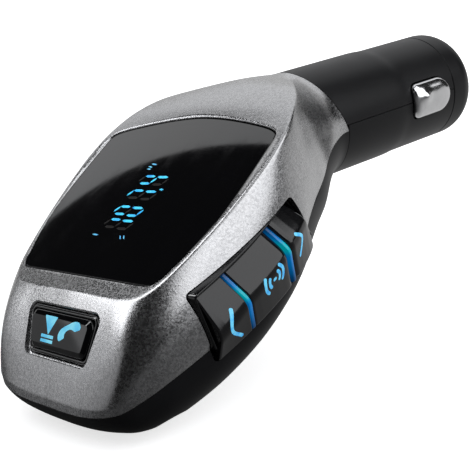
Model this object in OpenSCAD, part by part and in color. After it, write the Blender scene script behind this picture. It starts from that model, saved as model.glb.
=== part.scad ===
/* [Head] */
// Width of the head across the display
head_w = 50; // [47:0.5:56]
// Length of the head along its parting plane, from the neck seam to the nose
head_len = 71.1; // [68:0.1:80]
// Height of the display plane above the parting plane, at the front edge of the display
plateau_h = 11.7; // [11:0.1:14]
// Angle between the display plane and the parting plane
plateau_tilt = 9.4; // [7:0.1:11]
// Depth of the bottom shell below the parting plane
keel_depth = 12.4; // [11:0.1:15]
// Outward bulge of the side walls
wall_bulge = 1.7; // [0.8:0.1:2.4]
// Wall thickness of the two shells
shell_wall = 1.8; // [1.4:0.1:2.2]
// Step of the black shell inside the silver one at the parting line
seam_inset = 0.3; // [0.1:0.05:0.5]

/* [Neck] */
// Angle between the parting plane and the axis of the plug
head_tilt = 23; // [18:1:30]
// Depth of the parting plane below the plug axis where it meets the neck seam
parting_drop = 1.6; // [1:0.1:3]
// Lean of the silver shell's rear edge from square to the plug axis
seam_lean = 20.5; // [12:0.5:24]

/* [Display] */
// Silver margin on each side of the display window, across the widest part of the head
window_margin = 1.9; // [1.7:0.1:3]
// Length of the display window as a share of the head's length
window_share = 0.4895; // [0.45:0.005:0.5]
// Thickness of the window lens
lens_t = 1.2; // [0.8:0.1:1.4]
// Depth of the lens face below the rim of the window
lens_recess = 0.2; // [0:0.05:0.4]
// Width of the ledge that the lens rests on
ledge_w = 1.2; // [0.8:0.1:2]
// Height of a numeral
digit_h = 6.8; // [5:0.1:9]
// Pitch of the numerals along the slope
digit_pitch = 3.3; // [2.8:0.1:4]

/* [Front button] */
// Width of the button opening along its upper edge
button_w = 20.4; // [16:0.2:22]
// Length of the button opening down the front face
button_len = 8; // [6:0.1:9]
// Travel of the front button
button_travel = 0.4; // [0.2:0.05:0.6]

/* [Side keys] */
// Distance between the two light bars
key_pitch = 10.5; // [9:0.1:11]
// Thickness of a light bar
bar_t = 0.8; // [0.5:0.1:1.2]
// Height of the ridge of the keys over the parting outline
key_proud = 3; // [2:0.1:4]
// Depth of a key behind the parting outline
key_depth = 4; // [3.6:0.1:4.6]
// Travel of a side key
key_travel = 0.5; // [0.3:0.05:0.7]

/* [Plug] */
// Diameter of the plug barrel
plug_d = 20.8; // [20.2:0.1:21.2]
// Length of the barrel from the neck seam to the nose cap
barrel_len = 31; // [29:0.5:36]
// Length of the nose cap
nose_len = 8; // [7:0.5:10]
// Radius of the round edge of the nose cap
nose_round = 5; // [3:0.25:6]
// Wall thickness of the barrel
plug_wall = 1.8; // [1.4:0.1:2.4]
// Length of the full-size stretch that guides the plug in its socket
guide_len = 16.5; // [14:0.5:17]
// Reduction of the radius behind and in front of that stretch
relief = 0.2; // [0.15:0.05:0.3]
// Length of a side contact along the plug
contact_len = 10.5; // [8:0.5:11]
// Width of a side contact
contact_w = 6.6; // [5:0.2:8]
// Distance from the neck seam to a side contact
contact_start = 18.4; // [17:0.2:18.6]
// Height of a side contact over the barrel
contact_proud = 1; // [0.6:0.1:1.4]
// Diameter of the centre contact
tip_d = 7; // [5:0.2:8]
// Length of the centre contact in front of the nose cap
tip_len = 4; // [3:0.2:6]
// Travel of the centre contact
tip_travel = 2.5; // [1:0.1:3]
// Diameter of the glass fuse
fuse_d = 5.2; // [5:0.1:6.4]
// Length of the glass fuse as a share of the barrel's length
fuse_share = 0.645; // [0.6:0.005:0.65]

/* [Sockets] */
// Width of the USB socket's mouth
usb_w = 12.5; // [12:0.1:13]
// Height of the USB socket's mouth
usb_h = 5.1; // [4.6:0.1:5.4]
// Length of the USB socket
usb_len = 14; // [12:0.5:16]
// Bore of the audio jack
jack_bore = 3.6; // [3.5:0.05:3.8]
// Diameter of the audio jack's barrel
jack_d = 6; // [5:0.1:6.6]

/* [Boards and screws] */
// Thickness of a circuit board
board_t = 1.2; // [0.8:0.1:1.6]
// Radius of a screw post
post_r = 2; // [1.8:0.1:2.2]
// Diameter of a screw's thread
screw_d = 2; // [1.6:0.1:2.2]
// Diameter of a screw's head
screw_head_d = 3.4; // [3:0.1:3.6]

/* [Hidden] */
$fn = 48;

// Clearances and small sizes
overrun = 2;
fit_gap = 0.15;
slide_gap = 0.25;
seat_gap = 0.1;
seam_gap = 0.05;

// Shape of the head, station by station from the nose round to the neck.
// Parting line: half width and place along the head, as shares of half the width and of the length
parting_shares = [[0, 1], [0.2, 1], [0.41, 0.996], [0.585, 0.983], [0.71, 0.96], [0.792, 0.917],
    [0.866, 0.855], [0.956, 0.745], [1.008, 0.619], [1, 0.506], [0.932, 0.415], [0.828, 0.352],
    [0.716, 0.276], [0.608, 0.194], [0.508, 0.121], [0.452, 0.056], [0.412, 0]];
// Edge of the display plateau: half width, place along the head, and drop as a share of the neck's fall
edge_shares = [[0, 0.795, 0], [0.2, 0.795, 0.01], [0.408, 0.795, 0.02], [0.56, 0.792, 0.02],
    [0.676, 0.783, 0.02], [0.752, 0.765, 0.02], [0.826, 0.726, 0.02], [0.9, 0.647, 0.02],
    [0.956, 0.564, 0.02], [0.992, 0.473, 0.01], [1, 0.388, 0], [0.956, 0.308, 0],
    [0.848, 0.235, 0.04], [0.688, 0.169, 0.19], [0.512, 0.105, 0.45], [0.352, 0.048, 0.8],
    [0.212, 0, 1.13]];
// Spine of the plateau: place along the head, and drop as a share of the neck's fall
spine_shares = [[0.795, 0], [0.776, 0], [0.754, 0], [0.724, 0], [0.689, 0], [0.654, 0], [0.612, 0],
    [0.556, 0], [0.492, 0], [0.429, 0], [0.366, 0], [0.302, -0.02], [0.232, -0.03], [0.165, 0.09],
    [0.1, 0.33], [0.046, 0.64], [0, 1]];
// Bulge of the side wall, and share of the neck's circle in the section
skin_shares = [[0.2, 0], [0.2, 0], [0.25, 0], [0.5, 0], [0.8, 0], [0.95, 0], [1, 0], [0.88, 0], [0.76, 0],
    [0.7, 0], [0.65, 0], [0.65, 0], [0.7, 0], [0.94, 0], [1.3, 0.15], [1.5, 0.5], [1.65, 1]];
// Keel of the bottom shell: place along the head, depth, and squareness of the section
keel_shares = [[0.87, 0.72, 0], [0.86, 0.725, 0], [0.846, 0.73, 0], [0.826, 0.75, 0.2], [0.8, 0.79, 0.6],
    [0.766, 0.85, 1], [0.724, 0.92, 1], [0.66, 0.97, 0.8], [0.59, 0.96, 0.5], [0.513, 0.89, 0.2],
    [0.436, 0.82, 0], [0.366, 0.78, 0], [0.288, 0.76, 0], [0.218, 0.73, 0], [0.155, 0.71, 0],
    [0.096, 0.69, 0], [0.048, 0.654, 0]];
// Outline of the display window: half width and place up the slope
window_shares = [[0.74, 0], [0.795, 0.012], [0.845, 0.05], [0.885, 0.12], [0.93, 0.2], [0.965, 0.29],
    [0.99, 0.38], [1, 0.5], [0.995, 0.65], [0.985, 0.78], [0.978, 0.84], [0.955, 0.882], [0.9, 0.905],
    [0.8, 0.926], [0.61, 0.953], [0.39, 0.978], [0.2, 0.993], [0, 1]];

half_w = head_w / 2;
plug_r = plug_d / 2;
right_angle = 90;
window_w = head_w - 2 * window_margin;
window_len = window_share * head_len;
fuse_len = fuse_share * barrel_len;
window_v = -0.753 * head_len;
side_rows = 6;
top_rows = 5;
keel_rows = 8;
steps_per_span = 2;
spans = len(parting_shares) - 1;
stations = spans * steps_per_span;
parting_turn = -asin(parting_drop / plug_r);
edge_turn = 62;

// Height of the display plane over the parting plane at a place along the head
function plane_h(v) = plateau_h + (v - window_v) * tan(plateau_tilt);
neck_fall = plane_h(0) - (plug_r + parting_drop) / cos(head_tilt);

station_sizes = [for (i = [0:spans]) [
    parting_shares[i][0] * half_w, -parting_shares[i][1] * head_len,
    edge_shares[i][0] * half_w, -edge_shares[i][1] * head_len, edge_shares[i][2] * neck_fall,
    -spine_shares[i][0] * head_len, spine_shares[i][1] * neck_fall,
    skin_shares[i][0] * wall_bulge, skin_shares[i][1],
    -keel_shares[i][0] * head_len, -keel_shares[i][1] * keel_depth, keel_shares[i][2]]];

// Cubic curve through b and c, with a and d as its neighbours
function through(a, b, c, d, t) =
    (2 * b + (c - a) * t + (2 * a - 5 * b + 4 * c - d) * t * t + (3 * b - a - 3 * c + d) * t * t * t) / 2;
// A station's sizes mirrored to the other side of the head
function mirrored(row) = [for (k = [0:len(row) - 1]) k == 0 || k == 2 ? -row[k] : row[k]];
function station(s) =
    let (i = min(floor(s), spans - 1), last = station_sizes[spans])
    through(i == 0 ? mirrored(station_sizes[1]) : station_sizes[i - 1], station_sizes[i],
        station_sizes[i + 1], i + 2 > spans ? 2 * last - station_sizes[spans - 1] : station_sizes[i + 2],
        s - i);
parting_line = [for (k = [0:4 * spans]) let (row = station(k / 4)) [row[1], row[0]]];
// Half width of the parting outline at a place along the head
function outline_x(v) = lookup(v, parting_line);

// Outward direction, in plan, of the parting outline
function outward(s) =
    let (step = 0.05, a = station(max(s - step, 0)), b = station(min(s + step, spans)),
        along = s == 0 ? [1, 0] : [b[0] - a[0], b[1] - a[1]])
    [along[1], -along[0]] / norm(along);

// From the plug's frame to the head's frame, whose second axis runs along the parting plane
function to_head(p) = let (z = p[2] + parting_drop)
    [p[0], p[1] * cos(head_tilt) + z * sin(head_tilt), -p[1] * sin(head_tilt) + z * cos(head_tilt)];
// Point of a circle round the plug axis, on a plane that leans over the head
function neck_point(v, turn, lean, r) =
    let (z = r * sin(turn))
    to_head([r * cos(turn), v * cos(head_tilt) - tan(lean) * (z + parting_drop), z]);

// A point of the top shell's skin: row 0 is the right parting line, side_rows the plateau's right edge,
// and half_rows the spine
half_rows = side_rows + top_rows;
function side_point(s, t, r) =
    let (row = station(s), out = outward(s), start = [row[0], row[1], 0],
        end = [row[2], row[3], plane_h(row[3]) - row[4]], chord = end - start,
        reach = chord[0] * out[0] + chord[1] * out[1], slant = norm([reach, chord[2]]),
        swell = row[7] * 4 * t * (1 - t) / slant,
        loft = start + chord * t + [out[0] * chord[2], out[1] * chord[2], -reach] * swell)
    loft * (1 - row[8]) + row[8] * neck_point(row[1], parting_turn + (edge_turn - parting_turn) * t,
        seam_lean, r);
function top_point(s, k, r) =
    let (row = station(s), edge = side_point(s, 1, r), crown = 1 - k * k,
        v = edge[1] + (row[5] - edge[1]) * crown,
        drop = (plane_h(edge[1]) - edge[2]) * (1 - crown) + row[6] * crown,
        loft = [edge[0] * k, v, plane_h(v) - drop])
    loft * (1 - row[8]) + row[8] * neck_point(row[1], edge_turn + (right_angle - edge_turn) * (1 - k),
        seam_lean, r);
function top_skin(s, j, r) =
    j > half_rows ? flip(top_skin(s, 2 * half_rows - j, r))
    : j <= side_rows ? side_point(s, j / side_rows, r)
    : top_point(s, 1 - (j - side_rows) / top_rows, r);
function flip(p) = [-p[0], p[1], p[2]];

// A point of the bottom shell's skin: row 0 is the right parting line and keel_rows the keel
function keel_skin(s, j, r) =
    j > keel_rows ? flip(keel_skin(s, 2 * keel_rows - j, r))
    : let (row = station(s), out = outward(s), turn = right_angle * j / keel_rows,
        power = 2 / (2.1 + 0.6 * row[11]), c = pow(cos(turn), power), d = pow(sin(turn), power),
        inset = seam_inset * (1 - row[8]), x = row[0] - out[0] * inset, v = row[1] - out[1] * inset,
        loft = [x * c, v + (row[9] - v) * (1 - c), row[10] * d])
    loft * (1 - row[8])
        + row[8] * neck_point(row[1], parting_turn - (right_angle + parting_turn) * j / keel_rows, 0, r);

// Direction square to a skin, pointing into the head
function inward(kind, s, j, last) =
    let (e = 0.05, f = 0.3, b = skin(kind, min(s + e, spans), j, plug_r),
        along = s == 0 ? [1, 0, 0] : b - skin(kind, s - e, j, plug_r),
        c = skin(kind, s, max(j - f, 0), plug_r), d = skin(kind, s, s == 0 ? j : min(j + f, last), plug_r),
        n = cross(along, d - c))
    n / norm(n) * (kind == "top" ? -1 : 1);
function skin(kind, s, j, r) = kind == "top" ? top_skin(s, j, r) : keel_skin(s, j, r);
// The inner wall's point behind a point of the skin. The parting rim stays on the parting plane and
// the rear rim on the seam.
function inner_point(kind, s, j, last) =
    s == spans ? skin(kind, s, j, plug_r - shell_wall)
    : let (p = skin(kind, s, j, plug_r), out = outward(s), side = j == 0 ? 1 : -1)
    j == 0 || j == last ? p - [side * out[0], out[1], 0] * shell_wall
    : p + inward(kind, s, j, last) * shell_wall;

// A hollow half of the head: outer skin, inner skin, and the two rims between them
module half_shell(kind, rows, wall_rows) {
    last = 2 * rows;
    first = wall_rows + 1;
    count = first + stations * (last + 1);
    function idx(i, j) = i == 0 ? min(j, last - j, wall_rows) : first + (i - 1) * (last + 1) + j;
    outer = concat([for (j = [0:wall_rows]) skin(kind, 0, j, plug_r)],
        [for (i = [1:stations], j = [0:last]) skin(kind, i / steps_per_span, j, plug_r)]);
    inner = concat([for (j = [0:wall_rows]) inner_point(kind, 0, j, last)],
        [for (i = [1:stations], j = [0:last]) inner_point(kind, i / steps_per_span, j, last)]);
    skin_faces = [for (i = [0:stations - 1], j = [0:last - 1])
        let (a = idx(i, j), b = idx(i + 1, j), c = idx(i + 1, j + 1), d = idx(i, j + 1))
        each [if (a != b && b != c && a != c) [a, b, c], if (a != c && c != d && a != d) [a, c, d]]];
    // Pairs of outer vertices along the rims
    rim = concat([for (i = [0:stations - 1]) [idx(i + 1, 0), idx(i, 0)]],
        [for (i = [0:stations - 1]) [idx(i, last), idx(i + 1, last)]],
        [for (j = [0:last - 1]) [idx(stations, j + 1), idx(stations, j)]]);
    rim_faces = [for (e = rim) each [[e[0], e[1], e[1] + count], [e[0], e[1] + count, e[0] + count]]];
    faces = concat(skin_faces, [for (f = skin_faces) [f[2] + count, f[1] + count, f[0] + count]], rim_faces);
    polyhedron(points = concat(outer, inner),
        faces = kind == "top" ? [for (f = faces) [f[2], f[1], f[0]]] : faces, convexity = 8);
}

// Frames of reference
module head_frame() { translate([0, 0, -parting_drop]) rotate([head_tilt, 0, 0]) children(); }
module window_frame() {
    head_frame() translate([0, window_v, plateau_h]) rotate([plateau_tilt, 0, 0]) children();
}
button_v = -0.869 * head_len;
button_h = 0.59 * plateau_h;
button_slope = 40.3;
module button_frame() {
    head_frame() translate([0, button_v, button_h]) rotate([button_slope, 0, 0]) children();
}
// Stands a plan drawn as (place along the head, height) on its edge, growing out along x
module sideways(x0, x1) {
    translate([x0, 0, 0]) rotate([90, 0, 90]) linear_extrude(height = x1 - x0) children();
}

// Outline of the window, grown by a distance
window_steps = 3;
window_spans = len(window_shares) - 1;
function window_point(k) = let (i = min(max(k, 0), window_spans), row = window_shares[i])
    [row[0] * window_w / 2, row[1] * window_len];
window_right = concat([for (i = [0:window_spans - 1], k = [0:window_steps - 1])
    through(window_point(i - 1), window_point(i), window_point(i + 1), window_point(i + 2), k / window_steps)],
    [window_point(window_spans)]);
// The centre of the window, about which the outline grows
window_mid = window_len * 0.5;
module window_outline(grow) {
    sx = 1 + 2 * grow / window_w;
    su = 1 + 2 * grow / window_len;
    right = [for (p = window_right) [p[0] * sx, window_mid + (p[1] - window_mid) * su]];
    left = [for (i = [len(right) - 2:-1:0]) [-right[i][0], right[i][1]]];
    polygon(concat(right, left));
}

// Rounded trapezoid of the front button's opening, upper edge rearwards
button_taper_share = 0.853;
button_corner = 1.4;
module button_outline(shrink) {
    top = button_w / 2 - shrink;
    bottom = top * button_taper_share;
    long = button_len / 2 - shrink;
    r = button_corner;
    rounded_outline([[top, long], [-top, long], [-bottom, -long], [bottom, -long]], r);
}
// A polygon, given anticlockwise, with its corners rounded to a radius
module rounded_outline(p, r) {
    n = len(p);
    polygon([for (i = [0:n - 1]) let (a = p[(i + n - 1) % n], b = p[i], c = p[(i + 1) % n],
        u = (a - b) / norm(a - b), w = (c - b) / norm(c - b), half = acos(u * w) / 2,
        middle = b + (u + w) / norm(u + w) * r / sin(half), sweep = right_angle - half,
        start = atan2(-(u + w)[1], -(u + w)[0]))
        for (k = [-3:3]) middle + r * [cos(start + k * sweep / 3), sin(start + k * sweep / 3)]]);
}

// Side opening, as (place along the head, height over the parting plane)
keys_mid = -0.574 * head_len;
open_top = 0.79 * plateau_h;
open_low = -0.21 * keel_depth;
open_front = keys_mid - 1.07 * key_pitch;
open_front_low = keys_mid - 1.25 * key_pitch;
open_rear = keys_mid + 1.12 * key_pitch;
open_rear_low = keys_mid + 1.36 * key_pitch;
open_round = 0.9;
module side_opening(shrink) {
    rounded_outline([[open_front + shrink, open_top - shrink], [open_front_low + shrink, open_low + shrink],
        [open_rear_low - shrink, open_low + shrink], [open_rear - shrink, open_top - shrink]], open_round);
}

bezel_t = 0.7;
bezel_proud = 1.1;
key_rim = bezel_t + slide_gap;
key_back = half_w - key_depth;
ridge_h = 0.31 * plateau_h;
key_low = open_low + slide_gap;
key_top = open_top - key_rim;
key_sections = 6;

// A side key or a light bar: an angular ridge lofted along the outline, between two slanted ends.
// Each end is given at the upper edge and at the lower edge.
module ridge(front, rear, proud, back) {
    n = key_sections;
    function place(end, h) = end[0] + (end[1] - end[0]) * (key_top - h) / (key_top - key_low);
    corners = [[back, key_top], [0, key_top], [proud, ridge_h], [0, key_low], [back, key_low]];
    function section(k) = [for (q = corners)
        let (v = place(front + (rear - front) * k / n, q[1]))
        [q[0] == back ? back : outline_x(v) + q[0], v, q[1]]];
    points = [for (k = [0:n]) each section(k)];
    sides = [for (k = [0:n - 1], j = [0:4]) let (a = 5 * k + j, b = 5 * k + (j + 1) % 5)
        each [[b + 5, b, a], [a + 5, b + 5, a]]];
    polyhedron(points = points, faces = concat([[0, 1, 2, 3, 4]], [[for (j = [4:-1:0]) 5 * n + j]], sides),
        convexity = 4);
}
key_ends = [for (i = [-1, 1]) keys_mid + i * key_pitch / 2];
end_gap = bar_t / 2 + fit_gap;
// A key: the ridge, and a stem that reaches its switch
stem_r = 1.2;
stem_len = 0.8;
switch_rise = 1.6;
plunger_len = 0.5;
plunger_r = 0.9;
module side_key(front, rear, middle) {
    color([0.05, 0.05, 0.06]) head_frame() {
        ridge(front, rear, key_proud, key_back);
        translate([key_back + overrun * 0.1, middle, ridge_h]) rotate([0, -90, 0])
            cylinder(r = stem_r, h = stem_len + overrun * 0.1);
    }
}
front_ends = [open_front + key_rim, open_front_low + key_rim];
rear_ends = [open_rear - key_rim, open_rear_low - key_rim];
key_front_mid = keys_mid - 0.81 * key_pitch;
key_rear_mid = keys_mid + 0.86 * key_pitch;
module key_front() { side_key(front_ends, [key_ends[0] - end_gap, key_ends[0] - end_gap], key_front_mid); }
module key_middle() {
    side_key([key_ends[0] + end_gap, key_ends[0] + end_gap], [key_ends[1] - end_gap, key_ends[1] - end_gap],
        keys_mid);
}
module key_rear() { side_key([key_ends[1] + end_gap, key_ends[1] + end_gap], rear_ends, key_rear_mid); }

// Light bars stand between the keys and reach in to the side board
side_board_x = key_back - stem_len - key_travel - fit_gap - plunger_len - switch_rise - board_t;
board_w = 2 * (side_board_x - slide_gap);
module light_bar(v) {
    color([0.1, 0.5, 0.8]) head_frame()
        ridge([v - bar_t / 2, v - bar_t / 2], [v + bar_t / 2, v + bar_t / 2], key_proud + fit_gap,
            side_board_x + board_t);
}
module light_bar_front() { light_bar(key_ends[0]); }
module light_bar_rear() { light_bar(key_ends[1]); }

side_board_h = key_top - key_low - 2 * slide_gap;
side_mid_h = (key_top + key_low) / 2;
module side_board() {
    color([0.05, 0.3, 0.16]) head_frame()
        translate([side_board_x, key_front_mid - key_pitch / 2, side_mid_h - side_board_h / 2])
        cube([board_t, key_rear_mid - key_front_mid + 0.8 * key_pitch, side_board_h]);
}
switch_w = 4.2;
module side_switches() {
    color([0.75, 0.75, 0.72]) head_frame() for (v = [key_front_mid, keys_mid, key_rear_mid])
        translate([side_board_x + board_t, v, ridge_h]) rotate([0, 90, 0]) tact_switch();
}
module tact_switch() {
    translate([-switch_w / 2, -switch_w / 2, 0]) cube([switch_w, switch_w, switch_rise]);
    cylinder(r = plunger_r, h = switch_rise + plunger_len);
}

// The black frame that lines the opening in the silver shell, open where the bottom shell takes over
bezel_back = half_w - 0.6 * key_depth;
module side_bezel() {
    plan_steps = 24;
    v0 = open_front_low - overrun;
    v1 = open_rear_low + overrun;
    plan = [for (k = [0:plan_steps]) let (v = v0 + (v1 - v0) * k / plan_steps) [outline_x(v) + bezel_proud, v]];
    color([0.04, 0.04, 0.045]) head_frame() intersection() {
        difference() {
            sideways(bezel_back - overrun, half_w + key_proud) side_opening(fit_gap);
            sideways(bezel_back - 2 * overrun, half_w + key_proud + overrun) side_opening(bezel_t);
            translate([0, v0, -keel_depth]) cube([head_w, v1 - v0, keel_depth + fit_gap]);
        }
        translate([0, 0, -overrun]) linear_extrude(height = open_top + 2 * overrun)
            polygon(concat([[outline_x(v0) - key_depth, v0]], plan, [[outline_x(v1) - key_depth, v1]]));
    }
}

// Display
module display_lens() {
    color([0.02, 0.02, 0.025]) window_frame() translate([0, 0, -lens_recess - lens_t])
        linear_extrude(height = lens_t) window_outline(-fit_gap);
}
tape_t = 0.15;
ledge_depth = lens_recess + lens_t + tape_t;
module lens_tape() {
    color([0.1, 0.1, 0.1]) window_frame() translate([0, 0, -ledge_depth])
        linear_extrude(height = tape_t) difference() {
            window_outline(-fit_gap);
            window_outline(-ledge_w);
        }
}
module_w = 13;
module_len = 0.62 * window_len;
module_t = 5;
module_u = 0.46 * window_len;
module_gap = 0.3;
numeral_t = 1;
numeral_start = 0.26 * window_len;
stroke = 0.75;
module_top = -ledge_depth - module_gap;
// The seven strokes of a numeral, as [across, along] centres and directions, in shares of its size
stroke_shares = [[-1, 0, 0], [-0.5, 0.5, 1], [0.5, 0.5, 1], [1, 0, 0], [0.5, -0.5, 1], [-0.5, -0.5, 1],
    [0, 0, 0]];
digit_w = 0.72 * digit_pitch;
module numeral(lit) {
    for (i = lit) let (q = stroke_shares[i])
        translate([q[0] * (digit_h - stroke) / 2, q[1] * (digit_w - stroke), 0])
        if (q[2] == 0) translate([-stroke / 2, -(digit_w - 2.6 * stroke) / 2, 0])
            cube([stroke, digit_w - 2.6 * stroke, numeral_t]);
        else translate([-(digit_h / 2 - 1.9 * stroke) / 2, -stroke / 2, 0])
            cube([digit_h / 2 - 1.9 * stroke, stroke, numeral_t]);
}
// Strokes that are lit, for the numerals 1, 0, 7 and 4
lit_strokes = [[1, 2], [0, 1, 2, 3, 4, 5], [0, 1, 2], [1, 2, 5, 6]];
module display_numerals() {
    color([0.2, 0.75, 0.95]) window_frame() translate([0, numeral_start, module_top - numeral_t]) {
        for (i = [0:3]) translate([0, (i + 0.5) * digit_pitch, 0]) numeral(lit_strokes[i]);
        translate([digit_h / 2 + 0.8 * stroke, 3 * digit_pitch, 0]) cylinder(d = stroke, h = numeral_t);
    }
}
module display_module() {
    color([0.08, 0.08, 0.09]) window_frame() difference() {
        translate([-module_w / 2, module_u - module_len / 2, module_top - module_t])
            cube([module_w, module_len, module_t]);
        translate([0, numeral_start, module_top - numeral_t]) {
            for (i = [0:3]) translate([0, (i + 0.5) * digit_pitch, 0]) numeral(lit_strokes[i]);
            translate([digit_h / 2 + 0.8 * stroke, 3 * digit_pitch, 0]) cylinder(d = stroke, h = numeral_t);
        }
    }
}
display_board_w = 0.56 * window_w;
display_board_len = 0.7 * window_len;
module display_board() {
    color([0.05, 0.3, 0.16]) window_frame()
        translate([-display_board_w / 2, module_u - display_board_len / 2, module_top - module_t - board_t])
        cube([display_board_w, display_board_len, board_t]);
}

// Front button, its frame, its switch and its board, on the sloping front face
front_bezel_t = 0.8;
front_bezel_depth = 2.6;
front_lift = 0.5;
cap_t = 2.2;
cap_lift = 0.25;
module front_bezel() {
    color([0.03, 0.03, 0.035]) button_frame() translate([0, 0, front_lift - front_bezel_depth]) difference() {
        linear_extrude(height = front_bezel_depth) button_outline(fit_gap);
        translate([0, 0, -overrun]) linear_extrude(height = front_bezel_depth + 2 * overrun)
            button_outline(front_bezel_t);
    }
}
cap_bottom = front_lift + cap_lift - cap_t;
front_stem_len = 1.2;
module front_button() {
    inset = front_bezel_t + slide_gap;
    color([0.05, 0.05, 0.06]) button_frame() translate([0, 0, cap_bottom]) {
        linear_extrude(height = cap_t - cap_chamfer) button_outline(inset);
        translate([0, 0, cap_t - cap_chamfer]) linear_extrude(height = cap_chamfer)
            button_outline(inset + cap_chamfer);
        translate([0, 0, -front_stem_len]) cylinder(r = stem_r, h = front_stem_len + cap_t / 2);
    }
}
cap_chamfer = 0.35;
front_switch_top = cap_bottom - front_stem_len - button_travel - fit_gap;
module front_switch() {
    color([0.75, 0.75, 0.72]) button_frame()
        translate([0, 0, front_switch_top - plunger_len - switch_rise]) tact_switch();
}
front_board_w = 0.86 * button_w;
front_board_len = 0.95 * button_len;
front_board_z = front_switch_top - plunger_len - switch_rise - board_t;
tongue_front = button_v - front_board_z * sin(button_slope) - front_board_len / 2 * cos(button_slope) - board_t;
module front_board() {
    color([0.05, 0.3, 0.16]) intersection() {
        button_frame() translate([-front_board_w / 2, -front_board_len, front_board_z])
            cube([front_board_w, 1.5 * front_board_len, board_t]);
        head_frame() translate([-half_w, -head_len, board_top]) cube([head_w, head_len, plateau_h]);
    }
}

// Screws: a pair near the front and a pair near the neck, up through the bottom shell
// Places of the screws, and depth of their bosses' feet in the bottom shell's wall
screw_shares = [[-0.5, 0.773, 0.742], [0.5, 0.773, 0.742], [-0.32, 0.24, 0.5685],
    [0.32, 0.24, 0.5685]];
board_top = -0.1 * keel_depth;
board_under = board_top - board_t;
boss_r = post_r + 0.7 * screw_d / 2;
well_r = screw_head_d / 2 + slide_gap;
pilot_r = screw_d / 2 + fit_gap;
boss_floor = board_under - 1.5 * screw_d;
screw_len = 4.5 * screw_d;
module at_screws() { for (q = screw_shares) translate([q[0] * half_w, -q[1] * head_len, 0]) children(); }
module screws() {
    color([0.7, 0.7, 0.72]) head_frame() at_screws() {
        translate([0, 0, boss_floor - 0.6 * screw_d]) cylinder(d = screw_head_d, h = 0.6 * screw_d);
        translate([0, 0, boss_floor]) cylinder(d = screw_d, h = screw_len);
    }
}

// Shells
usb_v = -0.53 * head_len;
card_w = 12;
card_t = 1.5;
card_v = usb_v;
usb_shell_t = 0.35;
usb_top = board_top + usb_h + 2 * usb_shell_t;
jack_place = [0.62 * half_w, -0.865 * head_len];
jack_lean = [8, 10];
jack_h = -0.55 * keel_depth;
jack_len = 10.5;
mic_v = -0.72 * head_len;
mic_d = 4;
module top_shell() {
    color([0.55, 0.55, 0.56]) difference() {
        union() {
            head_frame() half_shell("top", half_rows, side_rows);
            head_frame() for (q = screw_shares)
                translate([q[0] * half_w, -q[1] * head_len, board_top + seat_gap])
                post(plane_h(-q[1] * head_len) - 0.6 * shell_wall - board_top - seat_gap);
        }
        window_frame() translate([0, 0, -ledge_depth]) linear_extrude(height = ledge_depth + 3 * overrun)
            window_outline(0);
        window_frame() translate([0, 0, -3 * overrun]) linear_extrude(height = 4 * overrun)
            window_outline(-ledge_w);
        button_frame() translate([0, 0, -3 * overrun]) linear_extrude(height = 5 * overrun) button_outline(0);
        head_frame() sideways(bezel_back - 2 * overrun, head_w) side_opening(0);
        head_frame() translate([-head_w, usb_v - usb_w / 2 - usb_shell_t - fit_gap, board_top - fit_gap])
            cube([head_w - board_w / 2, usb_w + 2 * usb_shell_t + 2 * fit_gap,
                usb_top - board_top + 2 * fit_gap]);
    }
}
// A post from the board up into the plateau's wall
module post(rise) {
    difference() {
        cylinder(r = post_r, h = rise);
        translate([0, 0, -overrun]) cylinder(d = screw_d, h = screw_len - board_t + overrun);
    }
}

module bottom_shell() {
    color([0.07, 0.07, 0.075]) difference() {
        union() {
            head_frame() translate([0, 0, -seam_gap]) half_shell("bottom", keel_rows, keel_rows);
            head_frame() for (q = screw_shares) translate([q[0] * half_w, -q[1] * head_len, -q[2] * keel_depth])
                cylinder(r = boss_r, h = board_under + q[2] * keel_depth);
        }
        head_frame() sideways(bezel_back - 2 * overrun, head_w) side_opening(0);
        head_frame() at_screws() {
            translate([0, 0, boss_floor - shell_wall]) cylinder(r = pilot_r, h = keel_depth);
            translate([0, 0, -2 * keel_depth]) cylinder(r = well_r, h = 2 * keel_depth + boss_floor);
        }
        head_frame() translate([-head_w, card_v - card_w / 2, board_under - card_t - fit_gap])
            cube([head_w - board_w / 2, card_w, card_t + fit_gap]);
        head_frame() translate([-head_w, usb_v - usb_w / 2 - usb_shell_t - fit_gap, board_top - fit_gap])
            cube([head_w - board_w / 2, usb_w + 2 * usb_shell_t + 2 * fit_gap, usb_top - board_top]);
        jack_frame() translate([0, 0, jack_len / 2]) cylinder(r = jack_d / 2 + fit_gap, h = jack_len);
        head_frame() translate([0, mic_v, -2 * keel_depth]) cylinder(r = 0.15 * mic_d, h = 2 * keel_depth);
    }
}
module jack_frame() {
    head_frame() translate([jack_place[0], jack_place[1], jack_h])
        rotate([180 - jack_lean[0], -jack_lean[1], 0]) translate([0, 0, -jack_len]) children();
}
module audio_jack() {
    color([0.06, 0.06, 0.06]) jack_frame() difference() {
        cylinder(d = jack_d, h = jack_len);
        translate([0, 0, 0.15 * jack_len]) cylinder(d = jack_bore, h = jack_len);
    }
}

// Electronics on the main board
board_front = -0.8 * head_len;
board_rear = -0.2 * head_len;
board_steps = 12;
board_margin = 2.2;
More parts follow.
